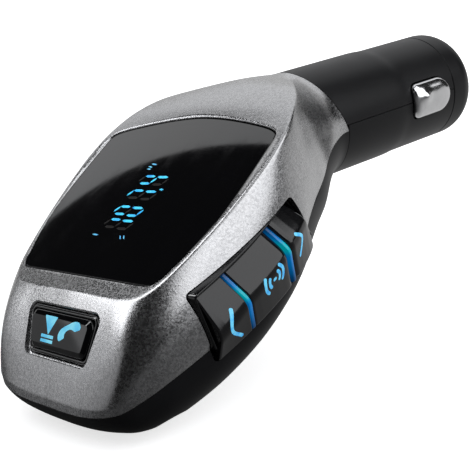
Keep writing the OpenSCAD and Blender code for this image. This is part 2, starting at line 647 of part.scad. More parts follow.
// Half width of the main board, which follows the shell where that is narrower
function board_x(v) = min(board_w / 2, outline_x(v) - shell_wall - board_margin);
module board_outline() {
    right = [for (k = [0:board_steps]) let (v = board_front + (board_rear - board_front) * k / board_steps)
        [board_x(v), v]];
    tongue = front_board_w / 2;
    polygon(concat([[-tongue, tongue_front], [tongue, tongue_front], [tongue, board_front]], right,
        [for (k = [board_steps:-1:0]) [-right[k][0], right[k][1]]], [[-tongue, board_front]]));
}
module main_board() {
    color([0.05, 0.3, 0.16]) head_frame() difference() {
        translate([0, 0, board_under]) linear_extrude(height = board_t) board_outline();
        at_screws() translate([0, 0, board_under - overrun]) cylinder(r = pilot_r, h = board_t + 2 * overrun);
    }
}
// Header that stands on the main board and carries the display board
header_w = 16;
pin_pitch = 2;
pins = round(header_w / pin_pitch);
pin_w = 0.6;
header_t = 2;
header_v = -0.42 * head_len;
module pin_header() {
    rise = plane_h(header_v) + (module_top - module_t - board_t) / cos(plateau_tilt) - board_top - seat_gap
        - header_t / 2 * tan(plateau_tilt);
    color([0.1, 0.1, 0.1]) head_frame() translate([-header_w / 2, header_v - header_t / 2, board_top]) {
        cube([header_w, header_t, header_t]);
        for (i = [0:pins - 1]) translate([(i + 0.5) * pin_pitch - pin_w / 2, (header_t - pin_w) / 2, 0])
            cube([pin_w, pin_w, rise]);
    }
}
chip_w = 7;
chip_t = 0.9;
module main_chip() {
    color([0.06, 0.06, 0.06]) head_frame()
        translate([0.1 * head_w - chip_w / 2, -0.5 * head_len - chip_w / 2, board_top])
        cube([chip_w, chip_w, chip_t]);
}
coil_w = 5;
can_d = 5;
can_h = 6;
module board_parts() {
    color([0.3, 0.3, 0.32]) head_frame() {
        translate([-coil_w / 2, -0.36 * head_len, board_top]) cube([coil_w, coil_w, 0.6 * coil_w]);
        translate([0.24 * head_w, -0.38 * head_len, board_top]) cylinder(d = can_d, h = can_h);
        translate([0, -0.68 * head_len, board_top]) cube([0.9 * coil_w, 0.4 * coil_w, 0.25 * coil_w]);
    }
}
usb_mouth = -min(outline_x(usb_v - usb_w / 2), outline_x(usb_v + usb_w / 2));
usb_back_t = 1.5;
module usb_socket() {
    color([0.8, 0.8, 0.82]) head_frame() translate([usb_mouth, usb_v, board_top]) {
        difference() {
            translate([0, -usb_w / 2 - usb_shell_t, 0])
                cube([usb_len, usb_w + 2 * usb_shell_t, usb_h + 2 * usb_shell_t]);
            translate([-overrun, -usb_w / 2, usb_shell_t]) cube([usb_len - usb_back_t + overrun, usb_w, usb_h]);
        }
        translate([2 * usb_shell_t, -0.44 * usb_w, usb_shell_t + 0.55 * usb_h])
            cube([usb_len - usb_back_t, 0.88 * usb_w, 0.35 * usb_h]);
    }
}
card_len = 14;
module card_slot() {
    color([0.78, 0.78, 0.8]) head_frame()
        translate([usb_mouth + shell_wall, card_v - card_w / 2 + fit_gap, board_under - card_t])
        difference() {
            cube([card_len, card_w - 2 * fit_gap, card_t]);
            translate([-overrun, 0.06 * card_w, 0.2 * card_t]) cube([card_len, 0.86 * card_w, 0.5 * card_t]);
        }
}
mic_t = 1.5;
module microphone() {
    color([0.75, 0.75, 0.75]) head_frame() translate([0, mic_v, board_under - mic_t])
        cylinder(d = mic_d, h = mic_t);
}

// Plug
barrel_in = plug_r - plug_wall;
neck_in = plug_r - shell_wall;
spigot_r = neck_in - slide_gap;
spigot_len = 7;
split_z = -0.5;
split_gap = 0.05;
contact_flange_r = barrel_in - seat_gap;
contact_flange_t = 0.8;
contact_round = 1.4;
module along_plug(y0, r, h) { translate([0, y0, 0]) rotate([-90, 0, 0]) cylinder(r = r, h = h); }
// Outline of a side contact, as (along, across), with a square end and a round end
module contact_outline(grow) {
    half = contact_w / 2 + grow;
    translate([contact_start + contact_w / 2 - grow, -half])
        square([contact_len - contact_w + grow, 2 * half]);
    translate([contact_start + contact_len - contact_w / 2, 0]) circle(r = half);
    for (side = [-1, 1]) translate([contact_start + contact_round, side * (contact_w / 2 - contact_round)])
        circle(r = contact_round + grow);
    translate([contact_start - grow, contact_round - contact_w / 2])
        square([contact_len / 2, contact_w - 2 * contact_round]);
    translate([contact_start + contact_round, -half]) square([contact_len / 2, 2 * half]);
}
module contact_prism(grow, x0, x1) {
    translate([0, 0, split_z]) sideways(x0, x1) contact_outline(grow);
}
// The space in front of the barrel: the seam is square below the parting plane and leans above it
module seam_cut(gap) {
    far = 4 * plug_d;
    sideways(-plug_d, plug_d) polygon([[gap - far, -plug_d], [gap, -plug_d], [gap, -parting_drop],
        [gap - (plug_d - parting_drop) * tan(seam_lean), plug_d - 2 * parting_drop],
        [gap - far, plug_d - 2 * parting_drop]]);
}
module barrel_half(upper) {
    reach = plug_d;
    difference() {
        union() {
            difference() {
                union() {
                    along_plug(-reach, plug_r - relief, barrel_len + reach);
                    along_plug(0, plug_r, guide_len);
                }
                seam_cut(seat_gap);
            }
            along_plug(-spigot_len, spigot_r, spigot_len + 2 * plug_wall);
        }
        along_plug(-reach - overrun, spigot_r - plug_wall, reach + overrun + 2 * plug_wall);
        along_plug(plug_wall, barrel_in, barrel_len);
        contact_prism(slide_gap, 0, plug_d);
        mirror([1, 0, 0]) contact_prism(slide_gap, 0, plug_d);
        translate([-plug_d, -reach - overrun, upper ? -plug_d + split_z + split_gap : split_z])
            cube([2 * plug_d, barrel_len + 2 * reach, plug_d]);
    }
}
module plug_upper() { color([0.06, 0.06, 0.065]) barrel_half(true); }
module plug_lower() { color([0.08, 0.08, 0.085]) barrel_half(false); }

cap_floor = 2.5;
cap_spigot = 1;
cap_seam = 0.1;
nose_end = barrel_len + nose_len;
nose_r = plug_r - relief;
tip_bore_r = tip_d / 2 + slide_gap;
module nose_cap() {
    color([0.07, 0.07, 0.075]) rotate([-90, 0, 0]) rotate_extrude($fn = 96) difference() {
        union() {
            translate([0, barrel_len + cap_seam]) square([nose_r - nose_round, nose_len - cap_seam]);
            translate([0, barrel_len + cap_seam]) square([nose_r, nose_len - cap_seam - nose_round]);
            translate([nose_r - nose_round, nose_end - nose_round]) intersection() {
                circle(r = nose_round);
                square([nose_round, nose_round]);
            }
            translate([0, barrel_len - cap_spigot]) square([barrel_in - seat_gap, cap_spigot + 2 * cap_seam]);
        }
        translate([-overrun, barrel_len - 2 * overrun])
            square([tip_bore_r + overrun, nose_len + 4 * overrun]);
        translate([-overrun, barrel_len - 2 * overrun])
            square([barrel_in - plug_wall + overrun, nose_len - cap_floor + 2 * overrun]);
    }
}

tip_flange_w = 1.2;
tip_flange_r = tip_d / 2 + tip_flange_w;
tip_flange_t = 1.2;
tip_back = nose_end - cap_floor - seat_gap;
tip_round = 1.5;
module tip_contact() {
    stem = cap_floor + seat_gap + tip_len;
    color([0.82, 0.82, 0.84]) translate([0, tip_back, 0]) rotate([-90, 0, 0]) rotate_extrude($fn = 96) {
        translate([0, -tip_flange_t]) square([tip_flange_r, tip_flange_t]);
        square([tip_d / 2, stem - tip_round]);
        square([tip_d / 2 - tip_round, stem]);
        translate([tip_d / 2 - tip_round, stem - tip_round]) intersection() {
            circle(r = tip_round);
            square([tip_round, tip_round]);
        }
    }
}
fuse_front = tip_back - tip_flange_t;
fuse_cap_len = 0.25 * fuse_len;
module fuse() {
    color([0.85, 0.88, 0.9]) {
        along_plug(fuse_front - fuse_len, fuse_d / 2 - fit_gap, fuse_len);
        along_plug(fuse_front - fuse_cap_len, fuse_d / 2, fuse_cap_len);
        along_plug(fuse_front - fuse_len, fuse_d / 2, fuse_cap_len);
    }
}
// Coil spring behind the fuse
spring_wire = 0.6;
spring_turns = 6;
spring_len = 6;
spring_sides = 6;
spring_steps = 12;
spring_r = fuse_d / 2 - spring_wire / 2;
module tip_spring() {
    n = spring_turns * spring_steps;
    rise = spring_len - spring_wire;
    color([0.7, 0.7, 0.72]) translate([0, fuse_front - fuse_len - spring_wire / 2, 0]) rotate([90, 0, 0])
        polyhedron(points = [for (k = [0:n], j = [0:spring_sides - 1])
            let (a = 360 * k / spring_steps, b = 360 * j / spring_sides,
                r = spring_r + spring_wire / 2 * cos(b))
            [r * cos(a), r * sin(a), rise * k / n + spring_wire / 2 * sin(b)]],
        faces = concat([[for (j = [spring_sides - 1:-1:0]) j]],
            [[for (j = [0:spring_sides - 1]) n * spring_sides + j]],
            [for (k = [0:n - 1], j = [0:spring_sides - 1])
                let (a = k * spring_sides + j, b = k * spring_sides + (j + 1) % spring_sides)
                each [[b + spring_sides, a + spring_sides, a], [b, b + spring_sides, a]]]));
}
seat_t = 0.8;
seat_y = fuse_front - fuse_len - spring_len - tip_travel - slide_gap - seat_t;
cup_wall = 0.8;
cup_len = 0.8 * (spring_len + tip_travel) + 0.4 * fuse_len;
module spring_cup() {
    color([0.75, 0.7, 0.5]) difference() {
        union() {
            along_plug(seat_y, barrel_in - seat_gap, seat_t);
            along_plug(seat_y, fuse_d / 2 + slide_gap + cup_wall, cup_len);
        }
        along_plug(seat_y + seat_t, fuse_d / 2 + slide_gap, cup_len);
    }
}

module side_contact() {
    difference() {
        union() {
            intersection() {
                contact_prism(0, contact_flange_r - contact_flange_t, plug_d);
                along_plug(0, plug_r + contact_proud, barrel_len);
            }
            intersection() {
                translate([0, contact_start - plug_wall, split_z - contact_w / 2 - plug_wall / 2])
                    cube([plug_d, barrel_len - cap_spigot - seat_gap - contact_start + plug_wall,
                        contact_w + plug_wall]);
                along_plug(0, contact_flange_r, barrel_len);
            }
        }
        along_plug(-overrun, contact_flange_r - contact_flange_t, barrel_len + 2 * overrun);
    }
}
module contact_right() { color([0.85, 0.85, 0.87]) side_contact(); }
module contact_left() { color([0.85, 0.85, 0.87]) mirror([1, 0, 0]) side_contact(); }

// Two insulated wires from the plug to the main board
wire_d = 1.2;
wire_sides = 8;
wire_x = 2.5;
// Places along a wire's way from the neck seam to the main board, as [back, down] shares of the head's length
wire_shares = [[0.028, 0.028], [0.098, 0.065], [0.155, 0.093], [0.194, 0.111], [0.239, 0.131]];
wire_routes = [for (side = [-1, 1]) concat(
    [[side * wire_x, seat_y - fit_gap, 0], [side * wire_x, seat_y - overrun, -fit_gap]],
    [for (q = wire_shares) [side * wire_x, -q[0] * head_len, -q[1] * head_len]])];
module tube_along(route, d) {
    n = len(route) - 1;
    function tangent(i) = let (a = route[max(i - 1, 0)], b = route[min(i + 1, n)]) (b - a) / norm(b - a);
    points = [for (i = [0:n])
        let (t = tangent(i), side = [1, 0, 0] - t * t[0], u = side / norm(side), w = cross(t, u))
        for (j = [0:wire_sides - 1]) let (turn = 360 * j / wire_sides)
            route[i] + d / 2 * (u * cos(turn) + w * sin(turn))];
    polyhedron(points = points, faces = concat([[for (j = [0:wire_sides - 1]) j]],
        [[for (j = [wire_sides - 1:-1:0]) n * wire_sides + j]],
        [for (i = [0:n - 1], j = [0:wire_sides - 1])
            let (a = i * wire_sides + j, b = i * wire_sides + (j + 1) % wire_sides)
            each [[b + wire_sides, b, a], [a + wire_sides, b + wire_sides, a]]]));
}
module power_wires() { color([0.7, 0.1, 0.1]) for (route = wire_routes) tube_along(route, wire_d); }

top_shell();
bottom_shell();
display_lens();
lens_tape();
display_module();
display_numerals();
display_board();
front_button();
front_bezel();
front_switch();
front_board();
side_bezel();
key_front();
key_middle();
key_rear();
light_bar_front();
light_bar_rear();
side_switches();
side_board();
pin_header();
main_board();
main_chip();
board_parts();
usb_socket();
card_slot();
audio_jack();
microphone();
screws();
plug_upper();
plug_lower();
nose_cap();
tip_contact();
fuse();
tip_spring();
spring_cup();
contact_right();
contact_left();
power_wires();
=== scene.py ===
"""Looks of a car radio transmitter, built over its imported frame.

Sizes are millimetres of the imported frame: the plug's axis is +Y, +Z is up and +X is the side of the keys.
"""

import logging
import math
from dataclasses import dataclass
from enum import Enum, IntEnum
from functools import cached_property
from typing import Callable, Sequence

import bmesh
import bpy
import numpy as np
from mathutils import Matrix


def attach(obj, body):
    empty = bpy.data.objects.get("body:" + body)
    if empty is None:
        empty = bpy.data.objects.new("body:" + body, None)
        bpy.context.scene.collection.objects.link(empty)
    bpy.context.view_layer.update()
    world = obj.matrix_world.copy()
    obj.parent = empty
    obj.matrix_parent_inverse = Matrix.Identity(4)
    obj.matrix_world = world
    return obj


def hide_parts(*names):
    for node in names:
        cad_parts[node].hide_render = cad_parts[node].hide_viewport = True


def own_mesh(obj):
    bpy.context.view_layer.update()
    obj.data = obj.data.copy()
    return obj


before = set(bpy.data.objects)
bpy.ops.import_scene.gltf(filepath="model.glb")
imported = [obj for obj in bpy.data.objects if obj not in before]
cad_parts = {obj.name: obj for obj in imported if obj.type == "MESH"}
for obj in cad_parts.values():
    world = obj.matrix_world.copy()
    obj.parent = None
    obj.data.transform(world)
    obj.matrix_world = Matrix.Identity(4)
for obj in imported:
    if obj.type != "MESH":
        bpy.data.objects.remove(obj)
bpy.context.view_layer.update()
LOG = logging.getLogger("transmitter")
MM = 0.001
WELD = 2e-4

Colour = tuple[float, float, float]
Lift = Callable[[np.ndarray], np.ndarray]
Pair = tuple[float, float]
Line = tuple[Pair, Pair]
Pairs = Sequence[Sequence[float]]


class Axis(Enum):
    """An axis of a frame of reference."""

    X = 0
    Y = 1
    Z = 2


class Side(Enum):
    """A side of the transmitter, by the sign of its x."""

    RIGHT = 1.0
    LEFT = -1.0


class Body(Enum):
    """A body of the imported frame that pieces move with."""

    HOUSING = "housing"
    FRONT_BUTTON = "front_button"
    KEY_FRONT = "key_front"
    KEY_MIDDLE = "key_middle"
    KEY_REAR = "key_rear"
    TIP = "tip"
    CONTACT_RIGHT = "contact_right"
    CONTACT_LEFT = "contact_left"


class Slot(Enum):
    """A material slot of the record."""

    SILVER = "silver"
    BLACK = "black"
    GLOSS_BLACK = "gloss_black"
    LIGHT_BLUE = "light_blue"
    NUMERALS = "numerals"
    CHROME = "chrome"
    STEEL = "steel"


class Sum(Enum):
    """What a Math node works out, under Blender's names."""

    ADD = "ADD"
    SUBTRACT = "SUBTRACT"
    MULTIPLY = "MULTIPLY"
    ABSOLUTE = "ABSOLUTE"
    SINE = "SINE"


def turn_about(axis: Axis, degrees: float) -> np.ndarray:
    """Gives the matrix that turns about one axis, anticlockwise seen against it."""
    return np.array(Matrix.Rotation(math.radians(degrees), 3, axis.name))


@dataclass(frozen=True)
class Place:
    """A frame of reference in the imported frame: an origin in millimetres and a turn."""

    origin: np.ndarray
    turn: np.ndarray

    def put(self, points: np.ndarray) -> np.ndarray:
        """Carries points, the last axis being x, y and z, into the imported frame."""
        return points @ self.turn.T + self.origin

    def on(self, origin: Sequence[float], turn: np.ndarray) -> "Place":
        """Gives a frame that stands on this one at an origin and with a turn."""
        return Place(self.put(np.array(origin, float)), self.turn @ turn)


PLUG = Place(np.zeros(3), np.eye(3))
HEAD = Place(np.array([0, 0, -1.6]), turn_about(Axis.X, 23))
WINDOW = HEAD.on((0, -53.54, 11.7), turn_about(Axis.X, 9.4))
BUTTON = HEAD.on((0, -61.79, 6.903), turn_about(Axis.X, 40.3))
SIDEWAYS = HEAD.on((0, 0, 0), np.array([[0, 0, 1], [1, 0, 0], [0, 1, 0]]))
SIGHT = Place(np.zeros(3), np.array([[0.624, -0.781, 0], [0.781, 0.624, 0], [0, 0, 1]]))
SCREW_PLACES = ((-12.5, -54.96), (12.5, -54.96), (-8.0, -17.06), (8.0, -17.06))
WINDOW_SIZE = (23.1, 34.803)
# The keys' opening: places of its front and rear corners and their heights, at the top and at the foot
KEYS_FRONT = (-52.05, -53.94)
KEYS_REAR = (-29.05, -26.53)
KEYS_HEIGHTS = (9.243, -2.604)


class Form:
    """Points and faces of one piece, gathered sheet by sheet in millimetres."""

    def __init__(self) -> None:
        """Starts with no points and no faces."""
        self.points: list[np.ndarray] = []
        self.faces: list[np.ndarray] = []
        self.count = 0

    def sheet(self, grid: np.ndarray, ring: bool = False, loop: bool = False, turned: bool = False) -> "Form":
        """Adds a grid of points and the quads between its rows and columns.

        Args:
            grid: Points as rows by columns by three.
            ring: Whether the last column joins the first.
            loop: Whether the last row joins the first.
            turned: Whether the faces look the other way.

        Returns:
            This form.
        """
        rows, cols = grid.shape[:2]
        i = np.arange(rows if loop else rows - 1)[:, None]
        j = np.arange(cols if ring else cols - 1)[None, :]
        i2, j2 = (i + 1) % rows, (j + 1) % cols
        quads = np.stack([i * cols + j, i * cols + j2, i2 * cols + j2, i2 * cols + j], -1).reshape(-1, 4)
        self.points.append(grid.reshape(-1, 3))
        self.faces.append((quads[:, ::-1] if turned else quads) + self.count)
        self.count += rows * cols
        return self

    def lid(self, ring: np.ndarray, turned: bool = False) -> "Form":
        """Closes a ring of points with one flat face.

        Args:
            ring: The points, anticlockwise as the face's front sees them.
            turned: Whether the face looks the other way.

        Returns:
            This form.
        """
        face = np.arange(len(ring))
        self.points.append(ring)
        self.faces.append(((face[::-1] if turned else face) + self.count)[None, :])
        self.count += len(ring)
        return self

    def add(self, other: "Form") -> "Form":
        """Adds another form's points and faces.

        Args:
            other: The other form.

        Returns:
            This form.
        """
        self.points += other.points
        self.faces += [group + self.count for group in other.faces]
        self.count += other.count
        return self

    def mesh(self, name: str, place: Place = PLUG, sharp: float = 40.0) -> bpy.types.Object:
        """Makes the piece's object, welded at its seams and poles and smooth up to an angle.

        Args:
            name: Name of the object.
            place: Frame that the points are given in.
            sharp: Angle in degrees between faces past which an edge stays sharp.

        Returns:
            The new object.
        """
        data = bpy.data.meshes.new(name)
        points = place.put(np.concatenate(self.points)) * MM
        data.from_pydata(points.tolist(), [], [f.tolist() for group in self.faces for f in group])
        work = bmesh.new()
        work.from_mesh(data)
        bmesh.ops.remove_doubles(work, verts=work.verts, dist=WELD * MM)
        bmesh.ops.dissolve_degenerate(work, edges=work.edges, dist=WELD * MM / 2)
        work.to_mesh(data)
        work.free()
        piece = bpy.data.objects.new(name, data)
        bpy.context.scene.collection.objects.link(piece)
        smooth(piece, sharp)
        return piece

    def solid(self, name: str, place: Place = PLUG, sharp: float = 40.0) -> bpy.types.Object:
        """Makes the object of a closed piece, whose faces are turned outwards.

        Args:
            name: Name of the object.
            place: Frame that the points are given in.
            sharp: Angle in degrees between faces past which an edge stays sharp.

        Returns:
            The new object.
        """
        piece = self.mesh(name, place, sharp)
        work = bmesh.new()
        work.from_mesh(piece.data)
        bmesh.ops.recalc_face_normals(work, faces=work.faces)
        work.to_mesh(piece.data)
        work.free()
        return piece


def smooth(piece: bpy.types.Object, sharp: float) -> None:
    """Shades a piece smooth, apart from edges past an angle in degrees."""
    piece.data.polygons.foreach_set("use_smooth", np.ones(len(piece.data.polygons), bool))
    piece.data.set_sharp_from_angle(angle=math.radians(sharp))


def cut(piece: bpy.types.Object, *tools: bpy.types.Object, sharp: float = 40.0) -> bpy.types.Object:
    """Takes the tools' solids out of a piece, and the tools out of the scene.

    Args:
        piece: The piece that is cut.
        tools: Closed solids.
        sharp: Angle in degrees past which an edge of the result stays sharp.

    Returns:
        The piece.
    """
    for tool in tools:
        step = piece.modifiers.new("cut", "BOOLEAN")
        step.operation, step.object, step.solver = "DIFFERENCE", tool, "EXACT"
        graph = bpy.context.evaluated_depsgraph_get()
        done = bpy.data.meshes.new_from_object(piece.evaluated_get(graph))
        piece.modifiers.clear()
        piece.data = done
        smooth(piece, sharp)
        bpy.data.objects.remove(tool)
    return piece


def cubic(a: np.ndarray, b: np.ndarray, c: np.ndarray, d: np.ndarray, t: np.ndarray) -> np.ndarray:
    """The Catmull-Rom cubic from b, at t 0, to c, at t 1, which leaves them along c - a and d - b."""
    return (2 * b + (c - a) * t + (2 * a - 5 * b + 4 * c - d) * t**2 + (3 * b - a - 3 * c + d) * t**3) / 2


def through(knots: np.ndarray, places: np.ndarray, closed: bool = False) -> np.ndarray:
    """Smooth curve through knots: a cubic between each knot and the next.

    Args:
        knots: Points as rows.
        places: Places along the curve, one unit from knot to knot.
        closed: Whether the last knot leads on to the first.

    Returns:
        One point for each place.
    """
    n = len(knots)
    i = np.clip(np.floor(places).astype(int), 0, n - (1 if closed else 2))
    ends = knots[-1:], knots[:2]
    if not closed:
        ends = 2 * knots[:1] - knots[1:2], 2 * knots[-1:] - knots[-2:-1]
    row = np.vstack([ends[0], knots, ends[1]])
    return cubic(*(row[i + k] for k in range(4)), (places - i)[..., None])


def rounded(corners: Pairs, radius: float, steps: int = 8) -> np.ndarray:
    """Outline of a polygon, given anticlockwise, whose corners are arcs of one radius.

    Args:
        corners: Corners as pairs.
        radius: Radius of each corner.
        steps: Steps of each arc.

    Returns:
        Points of the outline as rows.
    """
    p = np.array(corners, float)
    u = np.roll(p, 1, 0) - p
    w = np.roll(p, -1, 0) - p
    u /= np.linalg.norm(u, axis=1)[:, None]
    w /= np.linalg.norm(w, axis=1)[:, None]
    half = np.arccos(np.clip((u * w).sum(1), -1, 1)) / 2
    inward = (u + w) / np.linalg.norm(u + w, axis=1)[:, None]
    centre = p + inward * (radius / np.sin(half))[:, None]
    start = np.arctan2(-inward[:, 1], -inward[:, 0])
    angle = start[:, None] + (math.pi / 2 - half)[:, None] * np.linspace(-1, 1, steps + 1)
    arcs = centre[:, None] + radius * np.stack([np.cos(angle), np.sin(angle)], -1)
    return arcs.reshape(-1, 2)


def spaced(outline: np.ndarray, step: float) -> np.ndarray:
    """A closed outline's points set again at even steps along it, keeping its shape.

    Args:
        outline: Points of the outline as rows.
        step: Distance from point to point.

    Returns:
        The new points as rows.
    """
    loop = np.vstack([outline, outline[:1]])
    length = np.concatenate([[0], np.cumsum(np.linalg.norm(np.diff(loop, axis=0), axis=1))])
    at = np.linspace(0, length[-1], max(int(length[-1] / step), 12), endpoint=False)
    return np.stack([np.interp(at, length, loop[:, k]) for k in range(2)], -1)


def grown(outline: np.ndarray, growth: float) -> np.ndarray:
    """A closed anticlockwise outline moved out square to itself: each point goes along the mean of its two normals.

    Args:
        outline: Points of the outline as rows.
        growth: How far it is moved.

    Returns:
        The new points as rows.
    """
    edge = np.roll(outline, -1, 0) - outline
    normal = np.stack([edge[:, 1], -edge[:, 0]], -1)
    normal /= np.linalg.norm(normal, axis=1)[:, None]
    mean = normal + np.roll(normal, 1, 0)
    mean /= np.maximum((mean * mean).sum(1), 1.2)[:, None] / 2
    return outline + mean * growth


def flat(points: np.ndarray) -> np.ndarray:
    """Height of a flat face: nought everywhere."""
    return np.zeros(points.shape[:-1])


def risen(outline: np.ndarray, profile: Pairs, lift: Lift) -> np.ndarray:
    """Rings of an outline, each grown by a profile's first number and at the height of its second.

    Args:
        outline: Closed anticlockwise outline.
        profile: Pairs of growth and height.
        lift: Height added at a place of the outline.

    Returns:
        Points as rings by rows.
    """
    rings = [grown(outline, growth) for growth, _ in profile]
    return np.array([np.column_stack([ring, lift(ring) + height]) for ring, (_, height) in zip(rings, profile)])


def slab(outline: np.ndarray, profile: Pairs, lift: Lift = flat, crown: float = 0.0) -> Form:
    """A plate whose outline changes with its height by a profile.

    A crowned top is a grid of rings that shrink to its middle by a cosine and rise by the rest of its square.

    Args:
        outline: Closed anticlockwise outline.
        profile: Pairs of growth and height from the foot to the top.
        lift: Height added at a place of the plate.
        crown: Height of the middle over the edge of the top.

    Returns:
        The closed form.
    """
    rings = risen(outline, profile, lift)
    form, top = Form().sheet(rings, ring=True, turned=True).lid(rings[0], turned=True), rings[-1]
    if crown == 0:
        return form.lid(top)
    middle = top[:, :2].mean(0)
    share = np.cos(np.linspace(0, math.pi / 2, 26))[:, None]
    inner = middle + (top[:, :2] - middle) * share[..., None]
    height = lift(inner) + profile[-1][1] + crown * (1 - share**2) * np.ones(len(top))
    return form.sheet(np.concatenate([inner, height[..., None]], -1)[:, ::-1], ring=True)


def band(outline: np.ndarray, profile: Pairs) -> Form:
    """A closed ring: a section, as pairs of growth and height that run clockwise, carried round an outline."""
    return Form().sheet(risen(outline, profile, flat), ring=True, loop=True, turned=True)


def stroke(path: np.ndarray, width: float, lift: Lift, height: float, depth: float) -> Form:
    """A raised line with round ends on a surface: offsets across a path give the grid, whose rim turns down.

    Args:
        path: The line's middle as pairs.
        width: Width of the line.
        lift: Height of the surface at a place.
        height: Height of the line over the surface.
        depth: Depth of its foot under the surface.

    Returns:
        The closed form.
    """
    length = np.concatenate([[0], np.cumsum(np.linalg.norm(np.diff(path, axis=0), axis=1))])
    at = np.linspace(0, length[-1], max(int(length[-1] / 0.12), 6))
    line = np.stack([np.interp(at, length, path[:, k]) for k in range(2)], -1)
    along = np.gradient(line, axis=0)
    along /= np.linalg.norm(along, axis=1)[:, None]
    end = np.sin(np.linspace(0, math.pi / 2, 6)) * width / 2
    line = np.vstack([line[0] - along[0] * end[::-1, None], line, line[-1] + along[-1] * end[:, None]])
    along = np.vstack([np.repeat(along[:1], 6, 0), along, np.repeat(along[-1:], 6, 0)])
    tip = np.sqrt(np.maximum(width**2 / 4 - end**2, 1e-6))
    half = np.concatenate([tip[::-1], np.full(len(at), width / 2), tip])
    across = np.stack([along[:, 1], -along[:, 0]], -1)
    share = np.array([-1, -1, -0.9, -0.5, 0, 0.5, 0.9, 1, 1])
    rise = np.array([-depth, height * 0.6, height, height, height, height, height, height * 0.6, -depth])
    flatway = line[:, None] + across[:, None] * (half[:, None] * share)[..., None]
    grid = np.concatenate([flatway, (lift(flatway) + rise)[..., None]], -1)
    rim = np.concatenate([grid[:, 0], grid[::-1, -1]])
    return Form().sheet(grid).lid(rim, turned=True).lid(grid[0]).lid(grid[-1], turned=True)


def lathed(profile: Pairs, steps: int = 128) -> Form:
    """A round piece on the plug's axis: a profile turned once round it.

    Args:
        profile: Pairs of place along the axis and radius.
        steps: Steps of the turn.

    Returns:
        The closed form.
    """
    p = np.array(profile, float)
    angle = np.linspace(0, 2 * math.pi, steps, endpoint=False)
    grid = np.stack([p[:, 1:2] * np.cos(angle), np.repeat(p[:, :1], steps, 1), p[:, 1:2] * np.sin(angle)], -1)
    return Form().sheet(grid, ring=True)


def arc(centre: Pair, radius: float, start: float, end: float, steps: int) -> list[list[float]]:
    """Points of an arc round a centre, from one angle in degrees to another."""
    angle = np.radians(np.linspace(start, end, steps + 1))
    return (np.array(centre) + radius * np.stack([np.cos(angle), np.sin(angle)], -1)).tolist()


def over(face: float, profile: Pairs) -> list[Pair]:
    """A profile of growth and height whose heights are given over a face."""
    return [(growth, face + height) for growth, height in profile]


def circle(radius: float, steps: int) -> np.ndarray:
    """Outline of a circle."""
    angle = np.linspace(0, 2 * math.pi, steps, endpoint=False)
    return radius * np.stack([np.cos(angle), np.sin(angle)], -1)


class Value:
    """A number that varies over a surface, with the arithmetic that is used, which adds Math nodes."""

    def __init__(self, work: "Shading", socket: bpy.types.NodeSocket) -> None:
        """Wraps a socket of a material's nodes."""
        self.work, self.socket = work, socket

    def _sum(self, kind: Sum, *terms: "Value | float") -> "Value":
        """Adds the Math node of a kind on its terms."""
        made = self.work.node("ShaderNodeMath", {"operation": kind.value}, dict(enumerate(terms)))
        return Value(self.work, made.outputs[0])

    def __add__(self, other: "Value | float") -> "Value":
        """Sum."""
        return self._sum(Sum.ADD, self, other)

    __radd__ = __add__

    def __sub__(self, other: "Value | float") -> "Value":
        """Difference."""
        return self._sum(Sum.SUBTRACT, self, other)

    def __rsub__(self, other: float) -> "Value":
        """Difference from a number."""
        return self._sum(Sum.SUBTRACT, other, self)

    def __mul__(self, other: "Value | float") -> "Value":
        """Product."""
        return self._sum(Sum.MULTIPLY, self, other)

    __rmul__ = __mul__

    def __abs__(self) -> "Value":
        """Size without sign."""
        return self._sum(Sum.ABSOLUTE, self)

    def sine(self) -> "Value":
        """Sine of an angle in radians."""
        return self._sum(Sum.SINE, self)

    def ramp(self, low: float, high: float) -> "Value":
        """Gives a smooth rise from nought to one.

        Args:
            low: The value under which it is nought.
            high: The value over which it is one.

        Returns:
            The risen value.
        """
        inputs = {"Value": self, "From Min": low, "From Max": high}
        step = self.work.node("ShaderNodeMapRange", {"interpolation_type": "SMOOTHSTEP"}, inputs)
        return Value(self.work, step.outputs["Result"])


